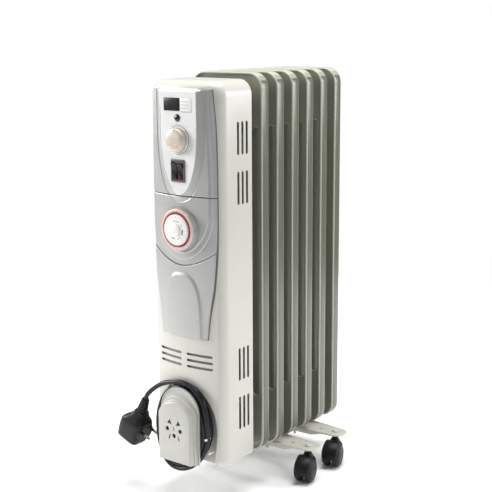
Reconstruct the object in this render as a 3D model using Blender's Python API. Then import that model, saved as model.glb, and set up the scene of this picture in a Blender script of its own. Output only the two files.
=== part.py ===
"""Oil filled radiator heater on four twin-wheel castors, modelled as separate pieces.

Metres, +Z up. The control box is at the -Y end and the fins run towards +Y. Lengths along Y
are given from the plane through the two front corners of the control box; one empty, at the
end, moves them so that the origin is under the middle of the heater, on the floor.
"""
import math

import bmesh
import bpy
from mathutils import Matrix, Vector

# ---------------------------------------------------------------- driving dimensions
GAP = 0.0003                # left between pieces that touch

FIN_COUNT = 7               # the first one stands inside the control box
FIN_PITCH = 0.0385
FIN_HALF_WIDTH = 0.066
FIN_LOW = 0.053
FIN_HIGH = 0.633
FIN_CORNER = 0.023
FIN_RIM_DEPTH = 0.0165      # the folded rim, front edge to rear edge
FIN_SHEET = 0.0016
WEB_FRONT = 0.0030          # the flat sheet lies this far behind the rim's front edge
FIRST_FIN_Y = 0.0570
FIRST_FIN_HALF_WIDTH = 0.0630   # the first fin is smaller, so that it fits inside the box
FIRST_FIN_LOW = 0.0600
FIRST_FIN_HIGH = 0.6210
FIRST_FIN_RIM_DEPTH = 0.0125

CHAMBER_HALF_WIDTH = 0.033  # oil chamber pressed into the middle of a fin
CHAMBER_MARGIN = 0.022      # from the fin's ends to the chamber's
CHAMBER_FRONT = -0.0025
CHAMBER_REAR = 0.0115
CHAMBER_WALL = 0.0014
CUP_RADIUS = 0.022          # cups that join the fins' chambers, top and bottom
CUP_BORE = 0.017
CUP_FROM_END = 0.055
SLOT_CENTRE_X = 0.0500      # the long air slots beside the chamber; the last fin has none
SLOT_RADIUS = 0.0100
SLOT_LOW = 0.088
SLOT_HIGH = 0.500

BOX_HALF_WIDTH = 0.067
BOX_LOW = 0.0565
BOX_HIGH = 0.6250
BOX_DEPTH = 0.0700
BOX_WALL = 0.0016
BOX_FILLET = 0.0100         # along the front edge
BOX_CORNER_HIGH = 0.0220
BOX_CORNER_LOW = 0.0130
CROWN = 0.0090              # the front bulges this much
CROWN_HALF_WIDTH = 0.0600

TRIM = 0.0025               # thickness of the three trim plates on the front
TONGUE_Y = -0.0145          # face of the raised console on the upper plate
TRIM_LOW = 0.2540
SEAM_LOW = 0.3600
SEAM_HIGH = 0.4620
TRIM_HIGH = 0.6145

KNOB_Z = 0.5420
KNOB_RADIUS = 0.0190
KNOB_HEIGHT = 0.0150
BEZEL_RADIUS = 0.0218
BEZEL_HEIGHT = 0.0024
SPINDLE_RADIUS = 0.0030
SWITCH_Z = 0.4980
SWITCH_HALF_WIDTH = 0.0126
SWITCH_HALF_HEIGHT = 0.0162
ROCKER_HALF_WIDTH = 0.0047
ROCKER_OFFSET = 0.0052
ROCKER_REST = math.radians(8.0)
LAMP_Z = 0.5730
WINDOW_Z = 0.5915
TIMER_Z = 0.4135
TIMER_BEZEL_RADIUS = 0.0325
TIMER_RING_RADIUS = 0.0250
TIMER_FACE_RADIUS = 0.0190
TIMER_FRONT_Y = -0.0260

COVER_Y = -0.0350           # face of the cord winder's cover
COVER_REAR_Y = -0.0190
COVER_HALF_WIDTH = 0.0370
COVER_LOW = 0.0630
COVER_HIGH = 0.1765
WELL_Y = 0.0120             # floor of the well that the cord winds in

CORD_DIAMETER = 0.0072
COIL_Z = 0.1110             # middle of the coil
COIL_OUT_X = 0.0525         # outer half width and half height of the coil
COIL_OUT_Z = 0.0685
COIL_LEAN = 0.0120          # its bottom hangs to the left
COIL_FRONT_Y = -0.0187
COIL_REAR_Y = 0.0038         # three layers deep
COIL_LANES = 2

FEET_FIRST_GAPS = (3, 5)    # each foot is clamped behind this fin
FOOT_HALF_LENGTH = 0.1240
FOOT_HALF_WIDTH = 0.0205
FOOT_TOP = 0.0527
FOOT_SHEET = 0.0020
CASTOR_X = 0.1050
CASTOR_TRAIL = 0.0140
CASTOR_TURN = math.radians(17.0)    # at rest the castors trail forwards and a little outwards
WHEEL_RADIUS = 0.0195
WHEEL_THICK = 0.0128
WHEEL_INNER_X = 0.0028
HOOD_RADIUS = 0.0220
CLAMP_X = 0.0250            # legs of the U-bolt round the lower cups

REAR_Y = FIRST_FIN_Y + (FIN_COUNT - 1) * FIN_PITCH + FIN_RIM_DEPTH
MIDDLE_Y = (REAR_Y + COVER_Y) / 2


# ---------------------------------------------------------------- materials
def material(name, colour, roughness, metallic=0.0):
    made = bpy.data.materials.new(name)
    made.use_nodes = True
    shader = made.node_tree.nodes["Principled BSDF"]
    shader.inputs["Base Color"].default_value = (*colour, 1.0)
    shader.inputs["Roughness"].default_value = roughness
    shader.inputs["Metallic"].default_value = metallic
    return made


def make_materials():
    return {
        "paint": material("cream_paint", (0.71, 0.70, 0.64), 0.42),
        "trim": material("silver_trim", (0.62, 0.62, 0.60), 0.35),
        "cover": material("grey_plastic", (0.60, 0.59, 0.55), 0.45),
        "black": material("black_plastic", (0.02, 0.02, 0.022), 0.45),
        "rubber": material("black_rubber", (0.025, 0.025, 0.028), 0.60),
        "knob": material("champagne_plastic", (0.55, 0.47, 0.36), 0.30),
        "window": material("smoked_window", (0.015, 0.018, 0.02), 0.10),
        "white": material("white_plastic", (0.82, 0.81, 0.78), 0.35),
        "red": material("red_plastic", (0.62, 0.20, 0.17), 0.40),
        "steel": material("bare_steel", (0.56, 0.56, 0.55), 0.35, 1.0),
        "brass": material("brass", (0.60, 0.45, 0.22), 0.35, 1.0),
        "board": material("moulded_insulator", (0.33, 0.30, 0.25), 0.60),
    }


# ---------------------------------------------------------------- small tools
def finish(name, bm, finish_name, place=(0.0, 0.0, 0.0), spin=None, sharp=32.0):
    """Turns a bmesh into a named object with one material, and parents it to the heater."""
    bmesh.ops.recalc_face_normals(bm, faces=bm.faces)
    mesh = bpy.data.meshes.new(name)
    bm.to_mesh(mesh)
    bm.free()
    piece = bpy.data.objects.new(name, mesh)
    bpy.context.collection.objects.link(piece)
    piece.data.materials.append(MATERIALS[finish_name])
    piece.location = place
    if spin is not None:
        piece.rotation_euler = spin
    piece.parent = HEATER
    mesh.shade_smooth()
    mesh.set_sharp_from_angle(angle=math.radians(sharp))
    return piece


def add_ring(bm, points):
    return [bm.verts.new(p) for p in points]


def skin(bm, rings, cap_first=True, cap_last=True):
    """Joins rings of equal length with quads, and closes the first and last with a face."""
    for a, b in zip(rings, rings[1:]):
        count = len(a)
        for i in range(count):
            j = (i + 1) % count
            bm.faces.new((a[i], a[j], b[j], b[i]))
    if cap_first:
        bm.faces.new(rings[0])
    if cap_last:
        bm.faces.new(rings[-1])


def loft(sections):
    """A closed body through sections, each a list of 3-D points in the same order."""
    bm = bmesh.new()
    skin(bm, [add_ring(bm, section) for section in sections])
    return bm


def prism(outline, y_front, y_rear, chamfer=0.0):
    """An (x, z) outline stretched along Y; the front edge may have a small chamfer."""
    if chamfer:
        inner = inset(outline, chamfer)
        return loft([[(x, y_front, z) for x, z in inner],
                     [(x, y_front + chamfer, z) for x, z in outline],
                     [(x, y_rear, z) for x, z in outline]])
    return loft([[(x, y_front, z) for x, z in outline], [(x, y_rear, z) for x, z in outline]])


def slab(outline, z_low, z_high):
    """An (x, y) outline stretched along Z."""
    return loft([[(x, y, z_low) for x, y in outline], [(x, y, z_high) for x, y in outline]])


def lathe_y(profile, segments=32, phase=0.0, centre=(0.0, 0.0)):
    """A body turned about a line along Y. profile holds (y, radius), front to rear."""
    bm = bmesh.new()
    rings = []
    for y, radius in profile:
        ring = []
        for i in range(segments):
            turn = phase + 2 * math.pi * i / segments
            ring.append((centre[0] + radius * math.cos(turn), y,
                         centre[1] + radius * math.sin(turn)))
        rings.append(add_ring(bm, ring))
    skin(bm, rings)
    return bm


def turned(bm, matrix):
    bm.transform(matrix)
    return bm


def arc(centre_x, centre_z, radius, start, end, steps):
    """Points on a circle from start to end, in degrees, both ends included."""
    points = []
    for i in range(steps + 1):
        turn = math.radians(start + (end - start) * i / steps)
        points.append((centre_x + radius * math.cos(turn), centre_z + radius * math.sin(turn)))
    return points


def rounded_rectangle(half_width, low, high, corner_low, corner_high, steps=5):
    points = arc(half_width - corner_high, high - corner_high, corner_high, 0, 90, steps)
    points += arc(corner_high - half_width, high - corner_high, corner_high, 90, 180, steps)
    points += arc(corner_low - half_width, low + corner_low, corner_low, 180, 270, steps)
    points += arc(half_width - corner_low, low + corner_low, corner_low, 270, 360, steps)
    return points


def stadium(centre_x, low, high, radius, steps=6):
    """A slot outline with round ends, its long way along Z."""
    points = arc(centre_x, high - radius, radius, 0, 180, steps)
    points += arc(centre_x, low + radius, radius, 180, 360, steps)
    return points


def inset(outline, distance):
    """Moves an anticlockwise outline inwards by distance."""
    moved = []
    count = len(outline)
    for i in range(count):
        before = Vector(outline[i - 1])
        here = Vector(outline[i])
        after = Vector(outline[(i + 1) % count])
        first = (here - before).normalized()
        second = (after - here).normalized()
        normal = Vector((-(first.y + second.y), first.x + second.x)).normalized()
        share = max(0.5, normal.dot(Vector((-first.y, first.x))))
        moved.append(tuple(here + normal * (distance / share)))
    return moved


def body(bm):
    """A nameless object that only serves as an operand."""
    bmesh.ops.recalc_face_normals(bm, faces=bm.faces)
    mesh = bpy.data.meshes.new("operand")
    bm.to_mesh(mesh)
    bm.free()
    made = bpy.data.objects.new("operand", mesh)
    bpy.context.collection.objects.link(made)
    return made


def combine(first, others, operation):
    """Applies one Boolean for each of the other bodies, and returns the result as a bmesh."""
    target = body(first)
    tools = [body(other) for other in others]
    for tool in tools:
        step = target.modifiers.new(operation.lower(), "BOOLEAN")
        step.operation = operation
        step.solver = "EXACT"
        step.object = tool
    bpy.context.view_layer.update()
    result = bmesh.new()
    result.from_object(target, bpy.context.evaluated_depsgraph_get())
    for spare in [target] + tools:
        mesh = spare.data
        bpy.data.objects.remove(spare)
        bpy.data.meshes.remove(mesh)
    bmesh.ops.remove_doubles(result, verts=result.verts, dist=0.000005)
    bmesh.ops.dissolve_degenerate(result, edges=result.edges, dist=0.000005)
    return result


def crown(x):
    """How far the box's front stands in front of its corners, at x."""
    return CROWN * max(0.0, 1.0 - (x / CROWN_HALF_WIDTH) ** 2)


# ---------------------------------------------------------------- fins
def fin_shape(sheet, y, front_cups, rear_cups, slotted=True):
    """A pressed fin: sheet with a folded rim, oil chamber, joining cups and air slots.

    sheet holds half its width, its low and high ends and the depth of its rim. front_cups and
    rear_cups say, for the lower and the upper cup, whether it is open.
    """
    half_width, low_end, high_end, depth = sheet

    def outline(extra):
        corner = FIN_CORNER - (FIN_HALF_WIDTH - half_width) - extra
        return rounded_rectangle(half_width - extra, low_end + extra, high_end - extra, corner,
                                 corner, 3)

    rim = ((0.0040, WEB_FRONT), (0.0014, 0.0), (0.0, 0.0014), (0.0, depth), (0.0024, depth),
           (0.0024, WEB_FRONT + FIN_SHEET))
    plate = loft([[(x, y + back, z) for x, z in outline(extra)] for extra, back in rim])

    def chamber(shrink):
        low = FIN_LOW + CHAMBER_MARGIN + shrink
        high = FIN_HIGH - CHAMBER_MARGIN - shrink
        half = CHAMBER_HALF_WIDTH - shrink
        front = y + CHAMBER_FRONT + shrink
        rear = y + CHAMBER_REAR - shrink
        sections = []
        for extra, depth in ((0.004, front), (0.0, front + 0.003), (0.0, rear - 0.003),
                             (0.004, rear)):
            corner = 0.018 - extra
            ring = rounded_rectangle(half - extra, low + extra, high - extra, corner, corner, 2)
            sections.append([(x, depth, z) for x, z in ring])
        return loft(sections)

    joined = [chamber(0.0)]
    cut = [chamber(CHAMBER_WALL)]
    middle = y + WEB_FRONT + FIN_SHEET / 2
    reach = FIN_PITCH / 2 - GAP / 2
    for end in (0, 1):
        z = FIN_LOW + CUP_FROM_END if end == 0 else FIN_HIGH - CUP_FROM_END
        front = middle - reach if front_cups[end] else y + CHAMBER_FRONT + 0.0005
        rear = middle + reach if rear_cups[end] else y + CHAMBER_REAR - 0.0005
        joined.append(lathe_y(((front, CUP_RADIUS), (rear, CUP_RADIUS)), 14, 0.0, (0.0, z)))
        open_front = front - 0.01 if front_cups[end] else y + CHAMBER_FRONT + 0.003
        open_rear = rear + 0.01 if rear_cups[end] else y + CHAMBER_REAR - 0.003
        cut.append(lathe_y(((open_front, CUP_BORE), (open_rear, CUP_BORE)), 14, 0.0, (0.0, z)))
    for side in (-1, 1) if slotted else ():
        slot = stadium(side * SLOT_CENTRE_X, FIN_LOW + SLOT_LOW, FIN_LOW + SLOT_HIGH,
                       SLOT_RADIUS, 4)
        cut.append(prism(slot, y, y + 0.009))
    return combine(combine(plate, joined, "UNION"), cut, "DIFFERENCE")


def make_fins():
    small = (FIRST_FIN_HALF_WIDTH, FIRST_FIN_LOW, FIRST_FIN_HIGH, FIRST_FIN_RIM_DEPTH)
    full = (FIN_HALF_WIDTH, FIN_LOW, FIN_HIGH, FIN_RIM_DEPTH)
    finish("fin_1", fin_shape(small, FIRST_FIN_Y, (True, False), (True, True)), "paint")
    middle = finish("fin_2", fin_shape(full, 0.0, (True, True), (True, True)), "paint",
                    (0.0, FIRST_FIN_Y + FIN_PITCH, 0.0))
    for number in range(3, FIN_COUNT):
        copy = bpy.data.objects.new(f"fin_{number}", middle.data)
        bpy.context.collection.objects.link(copy)
        copy.location = (0.0, FIRST_FIN_Y + (number - 1) * FIN_PITCH, 0.0)
        copy.parent = HEATER
    last_y = FIRST_FIN_Y + (FIN_COUNT - 1) * FIN_PITCH
    last = fin_shape(full, last_y, (True, True), (False, False), slotted=False)
    finish(f"fin_{FIN_COUNT}", last, "paint")


def make_heating_element():
    """A hairpin tube on a screwed plug, in the lower cups, with two terminals in front."""
    z = FIN_LOW + CUP_FROM_END
    cup_front = FIRST_FIN_Y + WEB_FRONT + FIN_SHEET / 2 - FIN_PITCH / 2 + GAP / 2
    plug = lathe_y(((cup_front - 0.0045, 0.0230), (cup_front - GAP, 0.0230),
                    (cup_front - GAP, 0.0160), (cup_front + 0.0120, 0.0160)), 12, 0.0, (0.0, z))
    leg_radius = 0.0035
    half_span = 0.0075
    far = REAR_Y - 0.030
    path = [(-half_span, cup_front + 0.008)]
    for i in range(7):
        turn = math.pi - math.pi * i / 6
        path.append((half_span * math.cos(turn), far + half_span * math.sin(turn)))
    path.append((half_span, cup_front + 0.008))
    rings = []
    for i, (x, y) in enumerate(path):
        before = Vector(path[max(i - 1, 0)])
        after = Vector(path[min(i + 1, len(path) - 1)])
        across = (after - before).normalized()
        ring = []
        for k in range(8):
            turn = 2 * math.pi * k / 8
            out = leg_radius * math.cos(turn)
            ring.append((x - across.y * out, y + across.x * out, z + leg_radius * math.sin(turn)))
        rings.append(ring)
    terminals = []
    for side in (-1, 1):
        terminals.append(lathe_y(((cup_front - 0.0120, 0.0018), (cup_front - 0.0030, 0.0018)), 8,
                                 0.0, (side * half_span, z)))
    finish("heating_element", combine(plug, [loft(rings)] + terminals, "UNION"), "steel")


# ---------------------------------------------------------------- control box
def box_surface(bm, shrink):
    """The box's skin as rings, from its front fillet to its open rear; returns the rear ring."""
    half = BOX_HALF_WIDTH - BOX_FILLET
    high = BOX_HIGH - BOX_FILLET
    low = BOX_LOW + BOX_FILLET
    corner_high = BOX_CORNER_HIGH - BOX_FILLET
    corner_low = BOX_CORNER_LOW - BOX_FILLET
    top = arc(half - corner_high, high - corner_high, corner_high, 0, 90, 3)
    flat_count = 8
    for i in range(1, flat_count):
        x = (half - corner_high) * (1 - 2 * i / flat_count)
        top.append((x, high))
    top += arc(corner_high - half, high - corner_high, corner_high, 90, 180, 3)

    def top_normal(x):
        over = abs(x) - (half - corner_high)
        if over <= 0:
            return (0.0, 1.0)
        turn = math.asin(min(1.0, over / corner_high))
        return (math.copysign(math.sin(turn), x), math.cos(turn))

    def low_point(x):
        over = abs(x) - (half - corner_low)
        if over <= 0:
            return low, (0.0, -1.0)
        turn = math.asin(min(1.0, over / corner_low))
        z = low + corner_low * (1 - math.cos(turn))
        return z, (math.copysign(math.sin(turn), x), -math.cos(turn))

    edge = [(x, z, top_normal(x)) for x, z in top]
    for x, _ in reversed(top):
        z, normal = low_point(x)
        edge.append((x, z, normal))
    rings = []
    radius = BOX_FILLET - shrink
    for step in range(4):
        turn = math.radians(90 * step / 3)
        ring = []
        for x, z, (nx, nz) in edge:
            out = radius * math.sin(turn)
            depth = -crown(x) + shrink + radius * (1 - math.cos(turn))
            ring.append((x + nx * out, depth, z + nz * out))
        rings.append(add_ring(bm, ring))
    rings.append(add_ring(bm, [(v.co.x, BOX_DEPTH, v.co.z) for v in rings[-1]]))
    skin(bm, rings, False, False)
    columns = len(top)
    front = rings[0]
    for i in range(columns - 1):
        bm.faces.new((front[i], front[i + 1], front[2 * columns - 2 - i],
                      front[2 * columns - 1 - i]))
    return rings[-1]


def shell_blank():
    bm = bmesh.new()
    outer = box_surface(bm, 0.0)
    inner = box_surface(bm, BOX_WALL)
    count = len(outer)
    for i in range(count):
        j = (i + 1) % count
        bm.faces.new((outer[i], outer[j], inner[j], inner[i]))
    return bm


def well_outline(grow):
    """The opening for the cord well: round the coil, and open at the bottom of the box."""
    points = []
    for i in range(13):
        turn = math.radians(-10 + 200 * i / 12)
        points.append(((COIL_OUT_X + grow) * math.cos(turn),
                       COIL_Z + (COIL_OUT_Z + grow) * math.sin(turn)))
    low = BOX_LOW - 0.01
    points += [(-0.0505 - grow, 0.0880), (-0.0455 - grow, low), (0.0455 + grow, low),
               (0.0505 + grow, 0.0880)]
    return points


def front_openings(grow=0.0):
    """Holes for the switch, the two spindles and the lamp, through the box and its trim."""
    y_front, y_rear = -0.03, 0.006
    half_width = SWITCH_HALF_WIDTH - 0.0010 + grow
    half_height = SWITCH_HALF_HEIGHT - 0.0010 + grow
    switch = [(half_width, SWITCH_Z + half_height), (-half_width, SWITCH_Z + half_height),
              (-half_width, SWITCH_Z - half_height), (half_width, SWITCH_Z - half_height)]
    return [prism(switch, y_front, y_rear),
            lathe_y(((y_front, 0.0060), (y_rear, 0.0060)), 16, 0.0, (0.0, KNOB_Z)),
            lathe_y(((y_front, 0.0060), (y_rear, 0.0060)), 16, 0.0, (0.0, TIMER_Z)),
            lathe_y(((y_front, 0.0036), (y_rear, 0.0036)), 12, 0.0, (0.0, LAMP_Z))]


def side_vents(side):
    """Four rows of three upright slots, on one side of the box."""
    cuts = []
    for low, high in ((0.1090, 0.1600), (0.1850, 0.2350), (0.4480, 0.4960), (0.5195, 0.5670)):
        for column in range(3):
            y = 0.0385 + 0.0100 * column
            outline = stadium(y, low, high, 0.0021, 2)
            bm = prism(outline, -0.004, 0.004)
            place = Matrix.Translation((side * BOX_HALF_WIDTH, 0.0, 0.0))
            cuts.append(turned(bm, place @ Matrix.Rotation(math.radians(90), 4, "Z")))
    return cuts


def front_vents():
    """Three rows of two long slots, under the trim."""
    cuts = []
    for row in range(3):
        z = 0.2085 + 0.0094 * row
        for side in (-1, 1):
            outline = [(side * x, z + dz) for x, dz in
                       ((0.0060, -0.0018), (0.0485, -0.0018), (0.0498, 0.0), (0.0485, 0.0018),
                        (0.0060, 0.0018), (0.0048, 0.0))]
            cuts.append(prism(outline, -0.02, 0.02))
    return cuts


def make_box():
    cuts = [prism(well_outline(0.0035), -0.03, WELL_Y + 0.0022)]
    cuts += front_openings(0.0004)
    cuts += side_vents(-1) + side_vents(1) + front_vents()
    finish("box_shell", combine(shell_blank(), cuts, "DIFFERENCE"), "paint")
    outline = [(x, max(z, BOX_LOW + 0.0001)) for x, z in well_outline(0.0031)]
    tray = prism(outline, -0.0008, WELL_Y + 0.0016)
    hollow = prism(well_outline(0.0017), -0.02, WELL_Y)
    finish("winder_well", combine(tray, [hollow], "DIFFERENCE"), "paint")


def make_heat_shield():
    """Sheet between the electrics and the first fin, with room for the element's plug."""
    outline = rounded_rectangle(0.0610, BOX_LOW + 0.0080, BOX_HIGH - 0.0080, 0.008, 0.016, 4)
    plate = prism(outline, 0.0330, 0.0340)
    z = FIN_LOW + CUP_FROM_END
    hole = lathe_y(((0.02, 0.0250), (0.05, 0.0250)), 20, 0.0, (0.0, z))
    finish("heat_shield", combine(plate, [hole], "DIFFERENCE"), "steel")


# ---------------------------------------------------------------- front trim
def trim_half_width(z):
    """Half the width of the silver trim at height z: widest at the upper seam."""
    points = ((TRIM_LOW, 0.0430), (0.2860, 0.0470), (0.3270, 0.0545), (0.3890, 0.0592),
              (0.4640, 0.0600), (0.5570, 0.0585), (TRIM_HIGH, 0.0540))
    for (z0, w0), (z1, w1) in zip(points, points[1:]):
        if z <= z1:
            part = max(0.0, (z - z0) / (z1 - z0))
            return w0 + (w1 - w0) * part
    return points[-1][1]


def seam_low(x):
    """The lower seam: a smile under the timer."""
    return SEAM_LOW + 0.0240 * (abs(x) / 0.06) ** 1.8


def smooth(value):
    value = min(1.0, max(0.0, value))
    return value * value * (3 - 2 * value)


def tongue_reach(x, z):
    """1 on the face of the raised console, 0 outside it, with a sloping wall between."""
    half = 0.0330
    low = 0.4545
    if z > low + half * 1.7:
        distance = half - abs(x)
    else:
        up = (z - low - half * 1.7) / 1.7
        distance = half - math.hypot(x, up)
    return smooth(distance / 0.0080 + 1.0)


def trim_plate(name, low, high, rows, columns, raised):
    """A plate that follows the box's crowned front, between two heights given at each x."""
    bm = bmesh.new()
    front, back = [], []
    for i in range(rows + 1):
        front_row, back_row = [], []
        for j in range(columns + 1):
            across = 2 * j / columns - 1
            z_guess = low(0.0) + (high(0.0) - low(0.0)) * i / rows
            x = across * trim_half_width(z_guess)
            z = low(x) + (high(x) - low(x)) * i / rows
            edge = 0.4 if i in (0, rows) or j in (0, columns) else 1.0
            face = -crown(x) - TRIM * edge
            if raised:
                face += (min(TONGUE_Y, face) - face) * tongue_reach(x, z) * (edge > 0.5)
            front_row.append(bm.verts.new((x, face, z)))
            back_row.append(bm.verts.new((x, -crown(x) - GAP, z)))
        front.append(front_row)
        back.append(back_row)
    for i in range(rows):
        for j in range(columns):
            bm.faces.new((front[i][j], front[i][j + 1], front[i + 1][j + 1], front[i + 1][j]))
            bm.faces.new((back[i][j], back[i + 1][j], back[i + 1][j + 1], back[i][j + 1]))
    for i in range(rows):
        for j in (0, columns):
            bm.faces.new((front[i][j], front[i + 1][j], back[i + 1][j], back[i][j]))
    for j in range(columns):
        for i in (0, rows):
            bm.faces.new((front[i][j], front[i][j + 1], back[i][j + 1], back[i][j]))
    return name, bm


def window_pocket(left, right, low, high, grow):
    return prism([(right + grow, high + grow), (left - grow, high + grow),
                  (left - grow, low - grow), (right + grow, low - grow)],
                 TONGUE_Y - 0.01, TONGUE_Y + 0.0012)


WINDOW = (-0.0250, 0.0050, 0.5825, 0.6010)
LABEL = (0.0080, 0.0250, 0.5825, 0.6010)


def make_trim():
    name, plate = trim_plate("upper_trim", lambda x: SEAM_HIGH + GAP, lambda x: TRIM_HIGH,
                             12, 14, True)
    cuts = front_openings()
    cuts += [window_pocket(*WINDOW, 0.0003), window_pocket(*LABEL, 0.0003)]
    finish(name, combine(plate, cuts, "DIFFERENCE"), "trim")
    name, plate = trim_plate("timer_trim", lambda x: seam_low(x) + GAP, lambda x: SEAM_HIGH - GAP,
                             2, 12, False)
    hole = lathe_y(((-0.03, TIMER_BEZEL_RADIUS + 0.0006), (0.0, TIMER_BEZEL_RADIUS + 0.0006)), 28,
                   0.0, (0.0, TIMER_Z))
    finish(name, combine(plate, [hole], "DIFFERENCE"), "trim")
    name, plate = trim_plate("lower_trim", lambda x: TRIM_LOW, lambda x: seam_low(x) - GAP,
                             2, 12, False)
    finish(name, plate, "trim")


# ---------------------------------------------------------------- controls
def make_window_and_label():
    for name, (left, right, low, high), colour in (("display_window", WINDOW, "window"),
                                                   ("rating_label", LABEL, "white")):
        outline = [(right, high), (left, high), (left, low), (right, low)]
        plate = prism(outline, TONGUE_Y - 0.0005, TONGUE_Y + 0.0012 - GAP, 0.0004)
        finish(name, plate, colour)


def make_lamp():
    front = TONGUE_Y - 0.0022
    lens = lathe_y(((front, 0.0012), (front + 0.0006, 0.0026), (front + 0.0018, 0.0032),
                    (TONGUE_Y + 0.0190, 0.0032)), 16, 0.0, (0.0, LAMP_Z))
    finish("pilot_lamp", lens, "window")


def make_thermostat():
    face = TONGUE_Y - GAP
    ring = lathe_y(((face - BEZEL_HEIGHT, BEZEL_RADIUS - 0.0025),
                    (face - BEZEL_HEIGHT, BEZEL_RADIUS - 0.0006),
                    (face - BEZEL_HEIGHT + 0.0008, BEZEL_RADIUS), (face, BEZEL_RADIUS)), 24, 0.0,
                   (0.0, KNOB_Z))
    hole = lathe_y(((face - 0.01, 0.0060), (face + 0.01, 0.0060)), 16, 0.0, (0.0, KNOB_Z))
    finish("knob_bezel", combine(ring, [hole], "DIFFERENCE"), "trim")

    # The knob turns about its own origin, with its spindle in the thermostat's bore.
    back = -BEZEL_HEIGHT - 0.0006
    profile = ((back - KNOB_HEIGHT, 0.0040), (back - KNOB_HEIGHT + 0.0006, 0.0100),
               (back - KNOB_HEIGHT + 0.0022, 0.0150), (back - KNOB_HEIGHT + 0.0052, 0.0176),
               (back - 0.0020, KNOB_RADIUS), (back, KNOB_RADIUS))
    knob = lathe_y(profile, 26)
    spindle = lathe_y(((back - 0.004, SPINDLE_RADIUS), (0.0190, SPINDLE_RADIUS)), 12)
    finish("thermostat_knob", combine(knob, [spindle], "UNION"), "knob",
           (0.0, TONGUE_Y, KNOB_Z))

    front = 0.0015
    block = prism(rounded_rectangle(0.0150, KNOB_Z - 0.0150, KNOB_Z + 0.0150, 0.003, 0.003, 2),
                  front, front + 0.0220)
    bore = lathe_y(((front - 0.01, SPINDLE_RADIUS + 0.0005), (0.0060, SPINDLE_RADIUS + 0.0005)),
                   12, 0.0, (0.0, KNOB_Z))
    finish("thermostat_body", combine(block, [bore], "DIFFERENCE"), "board")


def rocker_shape():
    """A rocker seen from its side: a shallow V in front and a round back."""
    half = 0.0123
    outline = [(0.0, -0.0036), (half, -0.0062), (half, -0.0020), (0.0045, 0.0030),
               (-0.0045, 0.0030), (-half, -0.0020), (-half, -0.0062)]
    width = ROCKER_HALF_WIDTH
    return loft([[(-width, y, z) for z, y in outline], [(width, y, z) for z, y in outline]])


def make_switch():
    face = TONGUE_Y
    pivot_y = face + 0.0020
    rim = prism(rounded_rectangle(SWITCH_HALF_WIDTH, SWITCH_Z - SWITCH_HALF_HEIGHT,
                                  SWITCH_Z + SWITCH_HALF_HEIGHT, 0.002, 0.002, 2),
                face - 0.0020, face - GAP, 0.0006)
    half_width = SWITCH_HALF_WIDTH - 0.0014
    half_height = SWITCH_HALF_HEIGHT - 0.0014
    stem = prism([(half_width, SWITCH_Z + half_height), (-half_width, SWITCH_Z + half_height),
                  (-half_width, SWITCH_Z - half_height), (half_width, SWITCH_Z - half_height)],
                 face - 0.0010, 0.0120)
    window = prism([(0.0103, SWITCH_Z + 0.0136), (-0.0103, SWITCH_Z + 0.0136),
                    (-0.0103, SWITCH_Z - 0.0136), (0.0103, SWITCH_Z - 0.0136)],
                   face - 0.01, pivot_y + 0.0060)
    housing = combine(combine(rim, [stem], "UNION"), [window], "DIFFERENCE")
    finish("switch_housing", housing, "black")
    for name, side, way in (("rocker_left", -1, 1), ("rocker_right", 1, 1)):
        finish(name, turned(rocker_shape(), Matrix.Rotation(way * ROCKER_REST, 4, "X")),
               "black", (side * ROCKER_OFFSET, pivot_y, SWITCH_Z))


def make_timer():
    front = -CROWN - GAP
    bezel = lathe_y(((-0.0170, 0.0272), (-0.0184, 0.0286), (-0.0184, 0.0312), (-0.0172, 0.0325),
                     (front, 0.0325)), 28, 0.0, (0.0, TIMER_Z))
    bowl = lathe_y(((-0.03, 0.0260), (-0.0125, 0.0260)), 28, 0.0, (0.0, TIMER_Z))
    hole = lathe_y(((-0.03, 0.0060), (0.01, 0.0060)), 16, 0.0, (0.0, TIMER_Z))
    finish("timer_bezel", combine(bezel, [bowl, hole], "DIFFERENCE"), "trim")

    # The tappet ring and the white dial turn together about the dial's origin.
    ring = lathe_y(((TIMER_FRONT_Y + 0.0012, 0.0205), (TIMER_FRONT_Y + 0.0004, 0.0218),
                    (TIMER_FRONT_Y + 0.0004, 0.0238), (TIMER_FRONT_Y + 0.0016, 0.0250),
                    (-0.0130, 0.0250)), 28)
    middle = lathe_y(((TIMER_FRONT_Y - 0.01, 0.0196), (0.0, 0.0196)), 28)
    finish("timer_tappet_ring", combine(ring, [middle], "DIFFERENCE"), "red",
           (0.0, 0.0, TIMER_Z))
    dial = lathe_y(((TIMER_FRONT_Y - 0.0018, 0.0100), (TIMER_FRONT_Y - 0.0008, 0.0120),
                    (TIMER_FRONT_Y, 0.0130), (TIMER_FRONT_Y, 0.0180),
                    (TIMER_FRONT_Y + 0.0010, TIMER_FACE_RADIUS), (-0.0130, TIMER_FACE_RADIUS)), 28)
    spindle = lathe_y(((-0.0150, SPINDLE_RADIUS), (0.0090, SPINDLE_RADIUS)), 12)
    finish("timer_dial", combine(dial, [spindle], "UNION"), "white", (0.0, 0.0, TIMER_Z))

    block = lathe_y(((0.0015, 0.0270), (0.0270, 0.0270)), 24, 0.0, (0.0, TIMER_Z))
    bore = lathe_y(((-0.01, SPINDLE_RADIUS + 0.0005), (0.0110, SPINDLE_RADIUS + 0.0005)), 12, 0.0,
                   (0.0, TIMER_Z))
    finish("timer_body", combine(block, [bore], "DIFFERENCE"), "board")


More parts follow.
